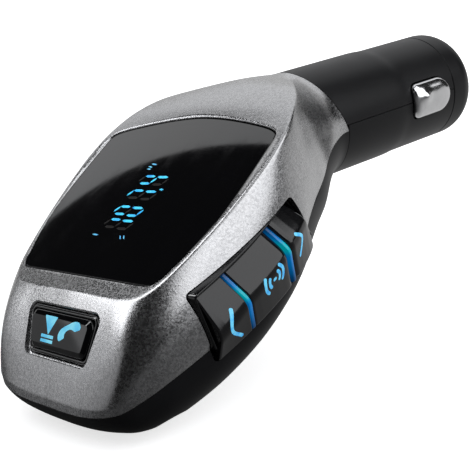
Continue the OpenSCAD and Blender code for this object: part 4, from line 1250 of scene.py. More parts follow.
@dataclass
class Shells(Assembly):
    """The silver and the black shell of the head, with their openings.

    A mouth is an opening in the left wall: its lower front and upper rear corner, as places along the head and
    heights, and the radius of its corners. A cut is the reach of a tool across the head, and a bore a radius
    with the reach of its tool. The flare takes a tool clear of the shell past its rounded edge.
    """

    bevel_height: float = 1.0
    bevel_depth: float = 0.34
    foot_rows: float = 0.8
    crease: float = 0.15
    rim: float = 0.3
    parting_gap: float = 0.05
    lens_ledge: float = 1.2
    lens_seat: float = -1.55
    usb_mouth: tuple[Pair, Pair, float] = ((-44.43, -1.39), (-30.93, 4.71), 0.4)
    card_mouth: tuple[Pair, Pair, float] = ((-43.68, -4.09), (-31.68, -2.44), 0.3)
    keys_cut: Pair = (18.6, 50)
    left_cut: Pair = (-50, -16)
    top_cut: float = -6
    flare: Pairs = ((0.05, 0.03), (0.3, 6))
    screw_bore: tuple[float, float, float] = (1.95, -30, -5.44)
    jack_bore: tuple[float, float, float] = (3.15, -5.2, 9)
    jack_at: tuple[float, float, float] = (15.5, -61.5, -6.82)
    sound_bore: tuple[float, float, float] = (0.6, -30, -4)
    sound_v: float = -51.19

    @staticmethod
    def places() -> np.ndarray:
        """Eight steps from each station to the next."""
        return np.linspace(0, FORM.last, 8 * FORM.last + 1)

    def silver_grid(self) -> tuple[np.ndarray, np.ndarray]:
        """Outer and inner points of the silver shell: the form's skin with a rounded crease and a bevelled foot.

        Across the crease the points are on the parabola of the skin's points before, at and after it. Near its
        foot the wall is pulled in by the bevel's depth times the share of its height left below.

        Returns:
            The two grids, places by rows.
        """
        foot = np.linspace(0, 1, 13) ** 1.3 * self.foot_rows
        wall = np.linspace(self.foot_rows, FORM.side_rows - self.crease, 26)[1:]
        turn = np.linspace(0, 1, 7)[1:]
        plateau = np.linspace(FORM.side_rows + self.crease, FORM.half_rows, 18)[1:]
        j = np.concatenate([foot, wall, FORM.side_rows + self.crease * (2 * turn - 1), plateau])
        j = np.concatenate([j, 2 * FORM.half_rows - j[-2::-1]])
        ss, jj = np.meshgrid(self.places(), j, indexing="ij")
        left = jj > FORM.half_rows
        outer = FORM.top_skin(ss, jj, FORM.plug_r)
        near = np.minimum(jj, 2 * FORM.half_rows - jj)
        u = np.clip((near - FORM.side_rows + self.crease) / (2 * self.crease), 0, 1)[..., None]
        rows = [FORM.side_rows + k * self.crease for k in (-1, 0, 1)]
        ends = [FORM.top_skin(ss, np.where(left, 2 * FORM.half_rows - row, row), FORM.plug_r) for row in rows]
        arched = (1 - u) ** 2 * ends[0] + 2 * u * (1 - u) * ends[1] + u**2 * ends[2]
        outer = np.where((u > 0) & (u < 1), arched, outer)
        out, roundness = FORM.outward(ss), FORM.station(ss)[..., Size.ROUNDNESS]
        pull = self.bevel_depth * np.clip(1 - outer[..., 2] / self.bevel_height, 0, 1) * (1 - roundness)
        outer[..., 0] -= pull * out[..., 0] * np.where(left, -1, 1)
        outer[..., 1] -= pull * out[..., 1]
        return outer, FORM.inner(FORM.top_skin, ss, jj, 2 * FORM.half_rows, FORM.side_rows, -1.0)

    def black_grid(self) -> tuple[np.ndarray, np.ndarray]:
        """Outer and inner points of the black shell, just under the parting plane.

        Returns:
            The two grids, places by rows.
        """
        last = 2 * FORM.keel_rows
        ss, jj = np.meshgrid(self.places(), np.linspace(0, last, 6 * last + 1), indexing="ij")
        lower = np.array([0, 0, -self.parting_gap])
        inner = FORM.inner(FORM.keel_skin, ss, jj, last, FORM.keel_rows, 1.0)
        return FORM.keel_skin(ss, jj, FORM.plug_r) + lower, inner + lower

    @staticmethod
    def hollow(outer: np.ndarray, inner: np.ndarray) -> Form:
        """A wall between two grids, closed by strips along its parting rims and its rear rim.

        Args:
            outer: Outer points.
            inner: Inner points.

        Returns:
            The closed form.
        """
        form = Form().sheet(outer).sheet(inner, turned=True)
        form.sheet(np.stack([outer[:, 0], inner[:, 0]])).sheet(np.stack([inner[:, -1], outer[:, -1]]))
        return form.sheet(np.stack([outer[-1], inner[-1]]))

    def keys_tool(self) -> bpy.types.Object:
        """The tool that cuts the keys' opening through the right wall."""
        low, high = self.keys_cut
        return slab(spaced(side_outline(), 0.4), [(0, low), (0, high)]).solid("side_tool", SIDEWAYS)

    def mouth_tool(self, low: Pair, high: Pair, corner: float) -> bpy.types.Object:
        """The tool that cuts a mouth through the left wall.

        Args:
            low: The mouth's lower front corner.
            high: Its upper rear corner.
            corner: The radius of its corners.

        Returns:
            The tool.
        """
        corners = [[low[0], low[1]], [high[0], low[1]], [high[0], high[1]], [low[0], high[1]]]
        profile = [(0, reach) for reach in self.left_cut]
        return slab(rounded(corners, corner, 4), profile).solid("side_tool", SIDEWAYS)

    @staticmethod
    def bore_tool(place: Place, radius: float, low: float, high: float) -> bpy.types.Object:
        """The tool that bores a round hole along z of a frame."""
        return slab(circle(radius, 40), [(0, low), (0, high)]).solid("bore_tool", place)

    def opening(self, outline: np.ndarray, start: Pairs, name: str, place: Place) -> bpy.types.Object:
        """The tool of an opening in the top: straight up, then a quarter circle that rounds the shell's edge off.

        Args:
            outline: Outline of the opening.
            start: The lower part of its profile.
            name: Name of the tool.
            place: Frame whose z = 0 is the shell's face.

        Returns:
            The tool.
        """
        turn = np.radians(np.linspace(0, 90, 7))
        curve = self.rim * np.stack([1 - np.cos(turn), np.sin(turn) - 1], -1)
        flare = [(self.rim + growth, height) for growth, height in self.flare]
        return slab(outline, [*start, *curve.tolist(), *flare]).solid(name, place)

    def silver(self) -> None:
        """Makes the silver shell and cuts the window, the button's opening, the keys' opening and the USB mouth."""
        shell = self.hollow(*self.silver_grid()).solid("silver_shell", HEAD)
        ledge = [(-self.lens_ledge, self.top_cut), (-self.lens_ledge, self.lens_seat), (0, self.lens_seat)]
        cut(shell, self.opening(window_outline(), ledge, "window_tool", WINDOW),
            self.opening(FrontButton.outline(0), [(0, self.top_cut)], "button_tool", BUTTON),
            self.keys_tool(), self.mouth_tool(*self.usb_mouth))
        self.keep(shell, self.finishes.silver, slot=Slot.SILVER, nodes=["top_shell"])

    def black(self) -> None:
        """Makes the black shell and cuts the keys' opening, the sockets' mouths, the screw wells and the bores."""
        shell = self.hollow(*self.black_grid()).solid("black_shell", HEAD)
        tools = [self.keys_tool(), self.mouth_tool(*self.usb_mouth), self.mouth_tool(*self.card_mouth)]
        tools += [self.bore_tool(HEAD.on((x, v, 0), np.eye(3)), *self.screw_bore) for x, v in SCREW_PLACES]
        jack = HEAD.on(self.jack_at, turn_about(Axis.Y, -10) @ turn_about(Axis.X, 172))
        tools.append(self.bore_tool(jack, *self.jack_bore))
        tools.append(self.bore_tool(HEAD.on((0, self.sound_v, 0), np.eye(3)), *self.sound_bore))
        self.keep(cut(shell, *tools), self.finishes.satin, slot=Slot.BLACK, nodes=["bottom_shell"])

    def build(self) -> None:
        """Makes both shells."""
        self.silver()
        self.black()


@dataclass
class Display(Assembly):
    """The window's lens and the lit reading on it.

    A numeral is made of up to seven strokes, and the reading gives each numeral's place and its lit strokes. All
    are places across the window and up its slope. A profile gives growth and height over the lens's face.
    """

    face: float = -0.2
    lens_profile: Pairs = ((-0.15, -1.2), (-0.15, -0.25), (-0.2, -0.1), (-0.32, 0))
    stroke_profile: Pairs = ((0, -0.06), (0, 0.01), (-0.03, 0.02))
    stroke_slant: Pair = (0.3, 0.75)
    stroke_width: float = 0.5
    mark_width: float = 0.3
    numeral: tuple[Line, ...] = (((-4.45, -1.2), (-3.6, 0.08)), ((-3.5, 0), (-0.85, 0.1)),
        ((-0.15, -0.1), (2.75, 0)), ((2.4, -1.6), (3.2, -0.28)), ((-0.2, -1.75), (2.5, -1.62)),
        ((-3.75, -1.6), (-1.0, -1.5)), ((-1.0, -1.45), (-0.15, -0.2)))
    reading: tuple[tuple[float, float, tuple[int, ...]], ...] = ((-0.05, 11.65, (1, 2)),
        (0.0, 14.45, (0, 1, 2, 3, 4, 5)), (0.3, 18.0, (0, 1, 2)), (0.6, 21.2, (1, 2, 5, 6)))
    point: Line = ((3.4, 18.45), (4.5, 18.55))
    marks: tuple[Line, ...] = (((-5.6, 8.25), (-3.9, 8.3)), ((2.0, 8.6), (2.9, 7.9)), ((2.9, 8.7), (3.8, 8.0)),
        ((-4.2, 22.8), (-3.0, 22.9)), ((-3.9, 24.0), (-2.3, 23.9)), ((-4.3, 23.4), (-3.0, 23.3)))

    def lens(self) -> None:
        """The lens: a slab whose edge is polished round, a hair under the rim."""
        piece = slab(window_outline(), over(self.face, self.lens_profile)).solid("window_lens", WINDOW)
        self.keep(piece, self.finishes.lens, slot=Slot.GLOSS_BLACK, nodes=["display_lens"])

    def stroke(self, line: Line, width: float) -> Form:
        """A stroke with slanting ends: six corners round a line, a hair over the lens.

        Args:
            line: The line's two ends.
            width: Width of the stroke.

        Returns:
            The closed form.
        """
        p, q = np.array(line, float)
        way = (q - p) / np.linalg.norm(q - p)
        across = np.array([-way[1], way[0]]) * width / 2
        near, far = (way * slant for slant in self.stroke_slant)
        corners = [p, p + far - across, q - near - across, q, q - far + across, p + near + across]
        return slab(spaced(np.array(corners), 0.1), over(self.face, self.stroke_profile))

    def strokes(self, name: str, lines: Sequence[Line], width: float, finish: Finish, *nodes: str) -> None:
        """Joins strokes on the lens into one piece.

        Args:
            name: Name of the piece.
            lines: The strokes' lines.
            width: Width of the strokes.
            finish: Finish of the piece.
            nodes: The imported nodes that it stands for.
        """
        form = Form()
        for line in lines:
            form.add(self.stroke(line, width))
        self.keep(form.solid(name, WINDOW), finish, slot=Slot.NUMERALS, nodes=nodes)

    def chosen(self, lit: bool) -> list[Line]:
        """The reading's lit strokes, or the unlit ones beside them."""
        return [tuple((a + x, b + u) for a, b in line) for x, u, on in self.reading
            for i, line in enumerate(self.numeral) if (i in on) == lit]

    def build(self) -> None:
        """Makes the lens, the reading 107.4, the unlit strokes beside the lit ones, and small marks."""
        self.lens()
        lit = [*self.chosen(True), self.point]
        self.strokes("reading", lit, self.stroke_width, self.finishes.numerals, "display_numerals")
        self.strokes("unlit_reading", self.chosen(False), self.stroke_width, self.finishes.unlit)
        self.strokes("small_marks", self.marks, self.mark_width, self.finishes.marks)


@dataclass
class FrontButton(Assembly):
    """The call button on the front face, its frame and its printed marks.

    The frame's section, the cap's rim and the print are pairs of growth and height, the last two over the face.
    """

    half_width: float = 10.2
    half_height: float = 4.0
    taper_share: float = 0.853
    corner: float = 1.4
    face: float = 0.75
    frame_section: Pairs = ((0, -2.1), (0, -0.12), (-0.1, 0.04), (-0.3, 0.14), (-0.5, 0.16), (-0.66, 0.1),
        (-0.72, 0.0), (-0.72, -2.1))
    cap_rim: Pairs = ((0, -0.5), (-0.05, -0.42), (-0.16, -0.36), (-0.62, -0.1), (-0.74, -0.03), (-0.9, 0))
    frame_gap: float = 0.15
    cap_gap: float = 0.97
    cap_foot: float = -1.45
    start_mark: Pairs = ((-4.2, 2.4), (-2.6, -0.6), (-0.45, 2.4))
    pause_span: Pair = (-4.55, -0.95)
    pause_feet: Pair = (-1.12, -1.86)
    pause_height: float = 0.5
    mark_corners: Pair = (0.12, 0.06)
    print_profile: Pairs = ((0, -0.05), (0, 0.012), (-0.02, 0.02))
    handset: Pairs = ((0.75, -1.13), (1.46, -0.87), (2.09, -0.48), (2.05, -0.02), (2.45, 0.53), (3.27, 0.95),
        (4.12, 1.0), (4.84, 0.82), (5.45, 1.02), (6.15, 1.3), (6.22, 1.76), (5.7, 2.26), (4.87, 2.35), (3.94, 2.15),
        (2.93, 1.71), (1.92, 1.27), (0.93, 0.69), (0.46, 0.08), (0.35, -0.56))

    @classmethod
    def outline(cls, shrink: float) -> np.ndarray:
        """Rounded trapezoid of the opening, made smaller.

        Args:
            shrink: How far its sides are moved in.

        Returns:
            Its points as rows.
        """
        top, height = cls.half_width - shrink, cls.half_height - shrink
        low = top * cls.taper_share
        corners = [[top, height], [-top, height], [-low, -height], [low, -height]]
        return spaced(rounded(corners, cls.corner), 0.25)

    def printed(self, outline: np.ndarray) -> Form:
        """A printed area, a hair over the cap's face."""
        return slab(spaced(outline, 0.12), over(self.face, self.print_profile))

    def marks(self) -> None:
        """The printed marks: start and pause at the left, a handset at the right."""
        blunt, fine = self.mark_corners
        form = self.printed(rounded(self.start_mark, blunt, 3))
        left, right = self.pause_span
        for low in self.pause_feet:
            high = low + self.pause_height
            bar = [[left, low], [right, low], [right, high], [left, high]]
            form.add(self.printed(rounded(bar, fine, 3)))
        knots = np.array(self.handset)
        form.add(self.printed(through(knots, np.linspace(0, len(knots), 6 * len(knots), endpoint=False), True)))
        self.keep(form.solid("button_marks", BUTTON), self.finishes.icons, Body.FRONT_BUTTON)

    def build(self) -> None:
        """Makes the frame, the cap and the marks."""
        ring = band(self.outline(self.frame_gap), self.frame_section).solid("button_frame", BUTTON)
        self.keep(ring, self.finishes.rims, slot=Slot.GLOSS_BLACK, nodes=["front_bezel"])
        profile = [(0, self.cap_foot)] + over(self.face, self.cap_rim)
        cap = slab(self.outline(self.cap_gap), profile).solid("call_button", BUTTON)
        self.keep(cap, self.finishes.cap, Body.FRONT_BUTTON, Slot.GLOSS_BLACK, ["front_button"])
        self.marks()


@dataclass
class SideKeys(Assembly):
    """The three side keys, the light bars between them and their frame.

    A key's rolls are the radii of its front and rear end. The bar's section gives places along the head with the
    dip of the face, and the frame's section growth with the rise over the wall.
    """

    mid: float = -40.81
    pitch: float = 10.5
    proud: float = 3.0
    ridge: float = 3.63
    ridge_bend: float = -46.2
    ridge_falls: Pair = (0.24, 0.07)
    top: float = 8.55
    low: float = -2.354
    gap: float = 0.42
    rim: float = 0.62
    roll: float = 0.3
    rolls: tuple[Pair, Pair, Pair] = ((0.3, 0.3), (0.3, 1.3), (1.2, 0.5))
    key_foot: float = 21.0
    bar_foot: float = 17.45
    bar_lift: float = 0.1
    bar_section: Pairs = ((-0.3, 0.16), (-0.26, 0.05), (-0.16, 0), (0.16, 0), (0.26, 0.05), (0.3, 0.16))
    frame_foot: float = 18.7
    frame_low: float = 0.1
    frame_section: Pairs = ((-0.12, 0), (-0.12, 0.76), (-0.16, 0.94), (-0.24, 1.06), (-0.34, 1.06), (-0.42, 0.96),
        (-0.46, 0.78), (-0.46, 0))
    mark_width: float = 0.55
    mark_rise: float = 0.02
    mark_depth: float = 0.1
    front_mark: tuple[Pair, Pair, Pair] = ((-48.95, 4.3), (-50.7, 1.6), (-48.7, -1.2))
    rear_mark: tuple[Pair, Pair, Pair] = ((-32.7, 4.8), (-31.2, 3.2), (-33.0, 0.8))
    broadcast_at: Pair = (-40.3, 2.6)
    broadcast_radii: Pair = (1.25, 2.2)
    broadcast_half: float = 38.0
    broadcast_dot: float = 0.12

    def ridge_height(self, v: np.ndarray) -> np.ndarray:
        """Height of the keys' ridge, which falls faster along the front key."""
        return self.ridge + np.where(v < self.ridge_bend, *self.ridge_falls) * (v - self.ridge_bend)

    def face(self, v: np.ndarray, h: np.ndarray) -> np.ndarray:
        """Sideways place of the keys' face: two flats that meet in a softened ridge.

        The smaller of the two slopes' shares a and b is taken, less (0.5 - |a - b|)^2 / 2 where they meet.

        Args:
            v: Places along the head.
            h: Heights.

        Returns:
            The places across the head.
        """
        ridge = self.ridge_height(v)
        a, b = (self.top - h) / (self.top - ridge), (h - self.low) / (ridge - self.low)
        soft = np.minimum(a, b) - np.maximum(0.5 - abs(a - b), 0) ** 2 / 2
        return FORM.outline_x(v) + self.proud * np.clip(soft, 0, 1)

    def surface(self, points: np.ndarray) -> np.ndarray:
        """Sideways place of the keys' face at pairs of place and height."""
        return self.face(points[..., 0], points[..., 1])

    @staticmethod
    def rolled(distance: np.ndarray, radius: float) -> np.ndarray:
        """Depth of a rounded edge at a distance from it: a quarter of a circle."""
        near = np.clip(radius - distance, 0, radius)
        return radius - np.sqrt(radius**2 - near**2)

    @staticmethod
    def block(grid: np.ndarray, foot: float) -> Form:
        """A face with straight walls from its rim back to a flat foot.

        Args:
            grid: The face's points.
            foot: Place of the foot across the head.

        Returns:
            The closed form.
        """
        rim = np.concatenate([grid[0, :-1], grid[:-1, -1], grid[-1, :0:-1], grid[:0:-1, 0]])
        back = rim * [1, 1, 0] + [0, 0, foot]
        return Form().sheet(grid).sheet(np.stack([rim, back]), ring=True).lid(back)

    def key(self, front: Pair, rear: Pair, rolls: Pair) -> Form:
        """A key: its face between two slanted ends, rolled down at its rim, and straight walls back to its foot.

        Args:
            front: Place of its front end at the top and at the foot.
            rear: Place of its rear end at the top and at the foot.
            rolls: Radii of its rolled front and rear ends.

        Returns:
            The closed form.
        """
        ease = (1 - np.cos(np.linspace(0, math.pi, 49))) / 2
        h = self.low + (self.top - self.low) * ease[:, None]
        share = (self.top - h) / (self.top - self.low)
        start, end = (place[0] + (place[1] - place[0]) * share for place in (front, rear))
        v = start + (end - start) * ease[None, :]
        h = h + 0 * v
        dip = self.rolled(v - start, rolls[0]) + self.rolled(end - v, rolls[1])
        dip = dip + self.rolled(np.minimum(self.top - h, h - self.low), self.roll)
        return self.block(np.stack([v, h, self.face(v, h) - dip], -1), self.key_foot)

    def bar(self, v: float) -> Form:
        """A light bar: the keys' section, a little prouder at the ridge, lofted over its thickness.

        Args:
            v: Place of its middle along the head.

        Returns:
            The closed form.
        """
        across, dip = np.array(self.bar_section).T
        vv, hh = np.meshgrid(v + across, np.linspace(self.low, self.top, 61))
        x = self.face(vv, hh) - dip - self.rolled(np.minimum(self.top - hh, hh - self.low), self.roll)
        lift = self.bar_lift * np.maximum(1 - abs(hh - self.ridge_height(vv)) / 2, 0)
        return self.block(np.stack([vv, hh, x + lift], -1), self.bar_foot)

    def frame(self) -> None:
        """The black frame that lines the opening above the parting plane: its section swept along the opening."""
        outline = spaced(side_outline(), 0.3)
        above = outline[:, 1] > self.frame_low
        first = int(np.flatnonzero(above & ~np.roll(above, 1))[0])
        path = np.roll(outline, -first, 0)[: int(above.sum())]
        edge = np.gradient(path, axis=0)
        normal = np.stack([edge[:, 1], -edge[:, 0]], -1)
        normal /= np.linalg.norm(normal, axis=1)[:, None]
        growth, rise = np.array(self.frame_section).T
        p = path[:, None] + normal[:, None] * growth[:, None]
        x = np.where(rise > 0, FORM.outline_x(p[..., 0]) + rise, self.frame_foot)
        grid = np.concatenate([p, x[..., None]], -1)
        piece = Form().sheet(grid, ring=True).lid(grid[0]).lid(grid[-1]).solid("key_frame", SIDEWAYS)
        self.keep(piece, self.finishes.rims, slot=Slot.GLOSS_BLACK, nodes=["side_bezel"])

    def mark(self, name: str, lines: Sequence[np.ndarray], body: Body) -> None:
        """Raised lines on a key's face, joined into one piece.

        Args:
            name: Name of the piece.
            lines: Middles of the lines, as places along the head and heights.
            body: The key's body.
        """
        form = Form()
        for line in lines:
            form.add(stroke(line, self.mark_width, self.surface, self.mark_rise, self.mark_depth))
        self.keep(form.solid(name, SIDEWAYS), self.finishes.marks, body)

    @staticmethod
    def chevron(start: Pair, corner: Pair, end: Pair) -> np.ndarray:
        """A line with a soft corner: a cubic through its ends and points a quarter of the way from its corner."""
        a, b, c = np.array([start, corner, end])
        return through(np.array([a, (a + 3 * b) / 4, (3 * b + c) / 4, c]), np.linspace(0, 3, 25))

    def marks(self) -> None:
        """Chevrons on the outer keys and a broadcast mark, a dot between two pairs of arcs, on the middle one."""
        self.mark("front_chevron", [self.chevron(*self.front_mark)], Body.KEY_FRONT)
        self.mark("rear_chevron", [self.chevron(*self.rear_mark)], Body.KEY_REAR)
        middle, dot = np.array(self.broadcast_at), self.broadcast_dot
        angle = np.radians(np.linspace(-self.broadcast_half, self.broadcast_half, 15))
        bow = np.stack([np.cos(angle), np.sin(angle)], -1)
        lines = [middle + side * radius * bow for radius in self.broadcast_radii for side in (-1, 1)]
        lines.append(middle + np.array([[-dot, 0], [dot, 0]]))
        self.mark("broadcast_mark", lines, Body.KEY_MIDDLE)

    def build(self) -> None:
        """Makes the keys, the bars, the frame and the marks."""
        first, second = self.mid - self.pitch / 2, self.mid + self.pitch / 2
        front = tuple(place + self.rim for place in KEYS_FRONT)
        rear = tuple(place - self.rim for place in KEYS_REAR)
        spans = {Body.KEY_FRONT: (front, (first - self.gap,) * 2),
            Body.KEY_MIDDLE: ((first + self.gap,) * 2, (second - self.gap,) * 2),
            Body.KEY_REAR: ((second + self.gap,) * 2, rear)}
        for (body, span), rolls in zip(spans.items(), self.rolls):
            piece = self.key(*span, rolls).solid(body.value + "_cap", SIDEWAYS, 35)
            self.keep(piece, self.finishes.keys, body, Slot.GLOSS_BLACK, [body.value])
        for name, v in (("light_bar_front", first), ("light_bar_rear", second)):
            piece = self.bar(v).solid(name + "_rod", SIDEWAYS, 35)
            self.keep(piece, self.finishes.bars, slot=Slot.LIGHT_BLUE, nodes=[name])
        self.frame()
        self.marks()


@dataclass
class Plug(Assembly):
    """The plug: its barrel's half shells, nose cap and contacts.

    The barrel is relieved past its full-size guide, and its halves part at the height of the split, with a gap
    in radians. A turned piece's profile is pairs of place along the axis and radius.
    """

    radius: float = 10.4
    relief: float = 0.2
    guide: float = 16.5
    barrel: float = 31.0
    wall: float = 1.8
    split: float = -0.5
    split_gap: float = 0.006
    seam_gap: float = 0.1
    relief_ease: float = 0.6
    edge_round: float = 0.12
    contact_half: float = 3.3
    contact_span: Pair = (18.4, 28.9)
    contact_corner: float = 1.4
    contact_bend: float = 11.4
    contact_crown: float = 0.06
    contact_gap: float = 0.22
    slot_cut: Pair = (2, 14)
    contact_profile: Pairs = ((-0.1, 8.4), (0, 10.35), (0, 10.62), (-0.1, 10.86), (-0.3, 11.06), (-0.6, 11.2),
        (-1.0, 11.29), (-1.4, 11.33))
    nub_at: Pair = (21.0, 0.6)
    nub_height: float = 0.75
    nub_spread: float = 1.2
    spring_radius: float = 2.3
    spring_span: Pair = (8.92, 14.88)
    spring_wire: float = 0.58
    spring_turns: int = 6
    tip_travel: float = 2.5

    def half(self, upper: bool) -> Form:
        """Half of the barrel's wall: a grid of angle by place along the axis, its front edge on the leaning seam.

        The relief at place y is its depth / (1 + e^((guide - y) / ease)), an even step at the guide's end.

        Args:
            upper: Whether it's the upper half.

        Returns:
            The closed form.
        """
        r, low = self.radius, math.asin(self.split / self.radius)
        start, end = (low, math.pi - low) if upper else (math.pi - low, 2 * math.pi + low)
        a = np.linspace(start + self.split_gap, end - self.split_gap, 97)
        lean = np.maximum(r * np.sin(a) + FORM.drop, 0) * math.tan(math.radians(FORM.lean))
        front = (self.seam_gap - (lean if upper else 0 * lean))[:, None]
        rings = []
        for inset, lead in ((self.wall, self.seam_gap), (self.edge_round, 0.0), (0.0, self.edge_round)):
            back = self.barrel - (self.edge_round if inset == 0 else 0)
            y = front + lead + (back - front - lead) * np.linspace(0, 1, 60)
            q = r - inset - self.relief / (1 + np.exp((self.guide - y) / self.relief_ease))
            rings.append(np.stack([q * np.cos(a)[:, None], y, q * np.sin(a)[:, None]], -1))
        inner, shoulder, outer = rings
        form = Form().sheet(outer).sheet(inner, turned=True)
        for edge in ((slice(None), 0), (slice(None), -1), (0, slice(None)), (-1, slice(None))):
            form.sheet(np.stack([outer[edge], shoulder[edge], inner[edge]]))
        return form

    def contact_outline(self, growth: float) -> np.ndarray:
        """Outline of a side contact as places along the plug and heights: square in front and round behind.

        Args:
            growth: How far it is moved out.

        Returns:
            Its points as rows.
        """
        half, corner, (start, end) = self.contact_half, self.contact_corner, self.contact_span
        line = arc((end - half, 0), half, -90, 90, 24) + arc((start + corner, half - corner), corner, 90, 180, 8)
        line += arc((start + corner, corner - half), corner, 180, 270, 8)
        return spaced(grown(spaced(np.array(line), 0.3), growth), 0.16)

    def beside(self, side: Side) -> Place:
        """The frame of a side contact: along the plug, up, and out to its side."""
        return PLUG.on((0, 0, self.split), np.array([[0, 0, side.value], [1, 0, 0], [0, 1, 0]], float))

    def bent(self, p: np.ndarray) -> np.ndarray:
        """Height lost by the bend round the barrel, and won by the round nub near the contact's front end.

        The bend is the circle of contact_bend, and the nub its height times e^(-distance^2 / spread).

        Args:
            p: Places along the plug and heights as pairs.

        Returns:
            The heights.
        """
        away = (p[..., 0] - self.nub_at[0]) ** 2 + (p[..., 1] - self.nub_at[1]) ** 2
        nub = self.nub_height * np.exp(-away / self.nub_spread)
        return np.sqrt(self.contact_bend**2 - (p[..., 1] + self.split) ** 2) - self.contact_bend + nub

    def contact(self, side: Side, body: Body) -> None:
        """Makes a chrome contact: a plate bent round the barrel, domed over and rounded down at its rim.

        Args:
            side: The side of the plug that it is on.
            body: The body it moves with.
        """
        form = slab(self.contact_outline(0), self.contact_profile, self.bent, self.contact_crown)
        piece = form.solid(side.name.lower() + "_contact", self.beside(side), 50)
        self.keep(piece, self.finishes.chrome, body, Slot.CHROME, [body.value])

    def round_pieces(self) -> None:
        """The end cap and the centre contact, each a profile turned round the axis."""
        r = self.radius - self.relief
        cap = [[31.1, 8.2], [31.1, r - self.edge_round], [31.24, r],
            *([y, x] for x, y in arc((r - 5, 34), 5, 0, 90, 18)),
            [39, 4.05], [38.85, 3.78], [36.5, 3.75], [36.5, 6.8], [31.1, 6.8], [31.1, 8.2]]
        self.keep(lathed(cap).solid("end_cap"), self.finishes.satin, slot=Slot.BLACK, nodes=["nose_cap"])
        tip = [[35.2, 0], [35.2, 4.5], [35.35, 4.7], [36.25, 4.7], [36.4, 4.5], [36.4, 3.5], [41.5, 3.5],
            *([y, x] for x, y in arc((2.0, 41.5), 1.5, 5, 90, 12)), [43.0, 0.9], [42.85, 0.6], [42.85, 0]]
        piece = lathed(tip, 96).solid("centre_contact")
        self.keep(piece, self.finishes.chrome, Body.TIP, Slot.CHROME, ["tip_contact"])

    def spring(self) -> None:
        """The spring behind the fuse, at its full length; the real one shortens as the centre contact goes in.

        The wire's centre runs on a helix: at share t it is at the angle 2 pi turns t, and its skin lies off it by
        wire / 2 times the cosine outwards and the sine along the axis.
        """
        (start, end), wire = self.spring_span, self.spring_wire
        t = np.linspace(0, 1, 48 * self.spring_turns + 1)
        t, thick = np.concatenate([[0], t, [1]])[:, None], np.concatenate([[0], 0 * t + wire / 2, [0]])[:, None]
        b = np.linspace(0, 2 * math.pi, 20, endpoint=False)
        out = self.spring_radius + thick * np.cos(b)
        turn = 2 * math.pi * self.spring_turns * t
        along = end - wire / 2 - (end - start - wire) * t - thick * np.sin(b)
        form = Form().sheet(np.stack([out * np.cos(turn), along, out * np.sin(turn)], -1), ring=True)
        piece = self.keep(form.solid("contact_spring"), self.finishes.steel, nodes=["tip_spring"])
        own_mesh(piece)

    def build(self) -> None:
        """Makes the plug's pieces."""
        for name, upper in (("plug_upper", True), ("plug_lower", False)):
            slot = slab(self.contact_outline(self.contact_gap), [(0, reach) for reach in self.slot_cut])
            tools = [slot.solid("slot_tool", self.beside(side)) for side in Side]
            piece = self.half(upper).solid(name.replace("plug", "barrel"))
            self.keep(cut(piece, *tools), self.finishes.satin, slot=Slot.BLACK, nodes=[name])
        self.round_pieces()
        self.spring()
        self.contact(Side.RIGHT, Body.CONTACT_RIGHT)
        self.contact(Side.LEFT, Body.CONTACT_LEFT)


@dataclass
class Works(Assembly):
    """The screws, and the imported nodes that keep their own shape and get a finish."""

    screw_profile: Pairs = ((-6.62, 0), (-6.62, 1.2), (-6.5, 1.55), (-6.25, 1.7), (-5.5, 1.7), (-5.44, 1.6),
        (-5.44, 1.0), (3.2, 1.0), (3.5, 0.6), (3.5, 0))
    cross_half: Pair = (1.1, 0.2)
    cross_profile: Pairs = ((0, -7.5), (-0.08, -6.0))

    def screws(self) -> None:
        """Four screws: a turned head and shank, with a cross driven into the head."""
        form = Form()
        turn = np.linspace(0, 2 * math.pi, 40, endpoint=False)
        p = np.array(self.screw_profile)
        grid = np.stack([p[:, 1:2] * np.cos(turn), p[:, 1:2] * np.sin(turn), np.repeat(p[:, :1], 40, 1)], -1)
        for x, v in SCREW_PLACES:
            form.sheet(grid + [x, v, 0], ring=True)
        piece = form.solid("case_screws", HEAD)
        long, short = self.cross_half
        arms = [slab(np.array([[-a, -b], [a, -b], [a, b], [-a, b]]), self.cross_profile)
            for a, b in ((long, short), (short, long))]
        tools = [arm.solid("cross_tool", HEAD.on((x, v, 0), np.eye(3))) for arm in arms for x, v in SCREW_PLACES]
        self.keep(cut(piece, *tools), self.finishes.steel, slot=Slot.STEEL, nodes=["screws"])

    def build(self) -> None:
        """Makes the screws and dresses each kept node."""
        self.screws()
        f = self.finishes
        kept = {"lens_tape": f.tape, "display_module": f.dark, "display_board": f.board, "front_switch": f.switch,
            "front_board": f.board, "side_switches": f.switch, "side_board": f.board, "pin_header": f.dark,
            "main_board": f.board, "main_chip": f.dark, "board_parts": f.parts, "usb_socket": f.steel,
            "card_slot": f.steel, "audio_jack": f.dark, "microphone": f.steel, "fuse": f.glass,
            "spring_cup": f.brass, "power_wires": f.wire}
        for name, finish in kept.items():
            finish.dress(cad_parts[name])
            LOG.info("%s: kept", name)


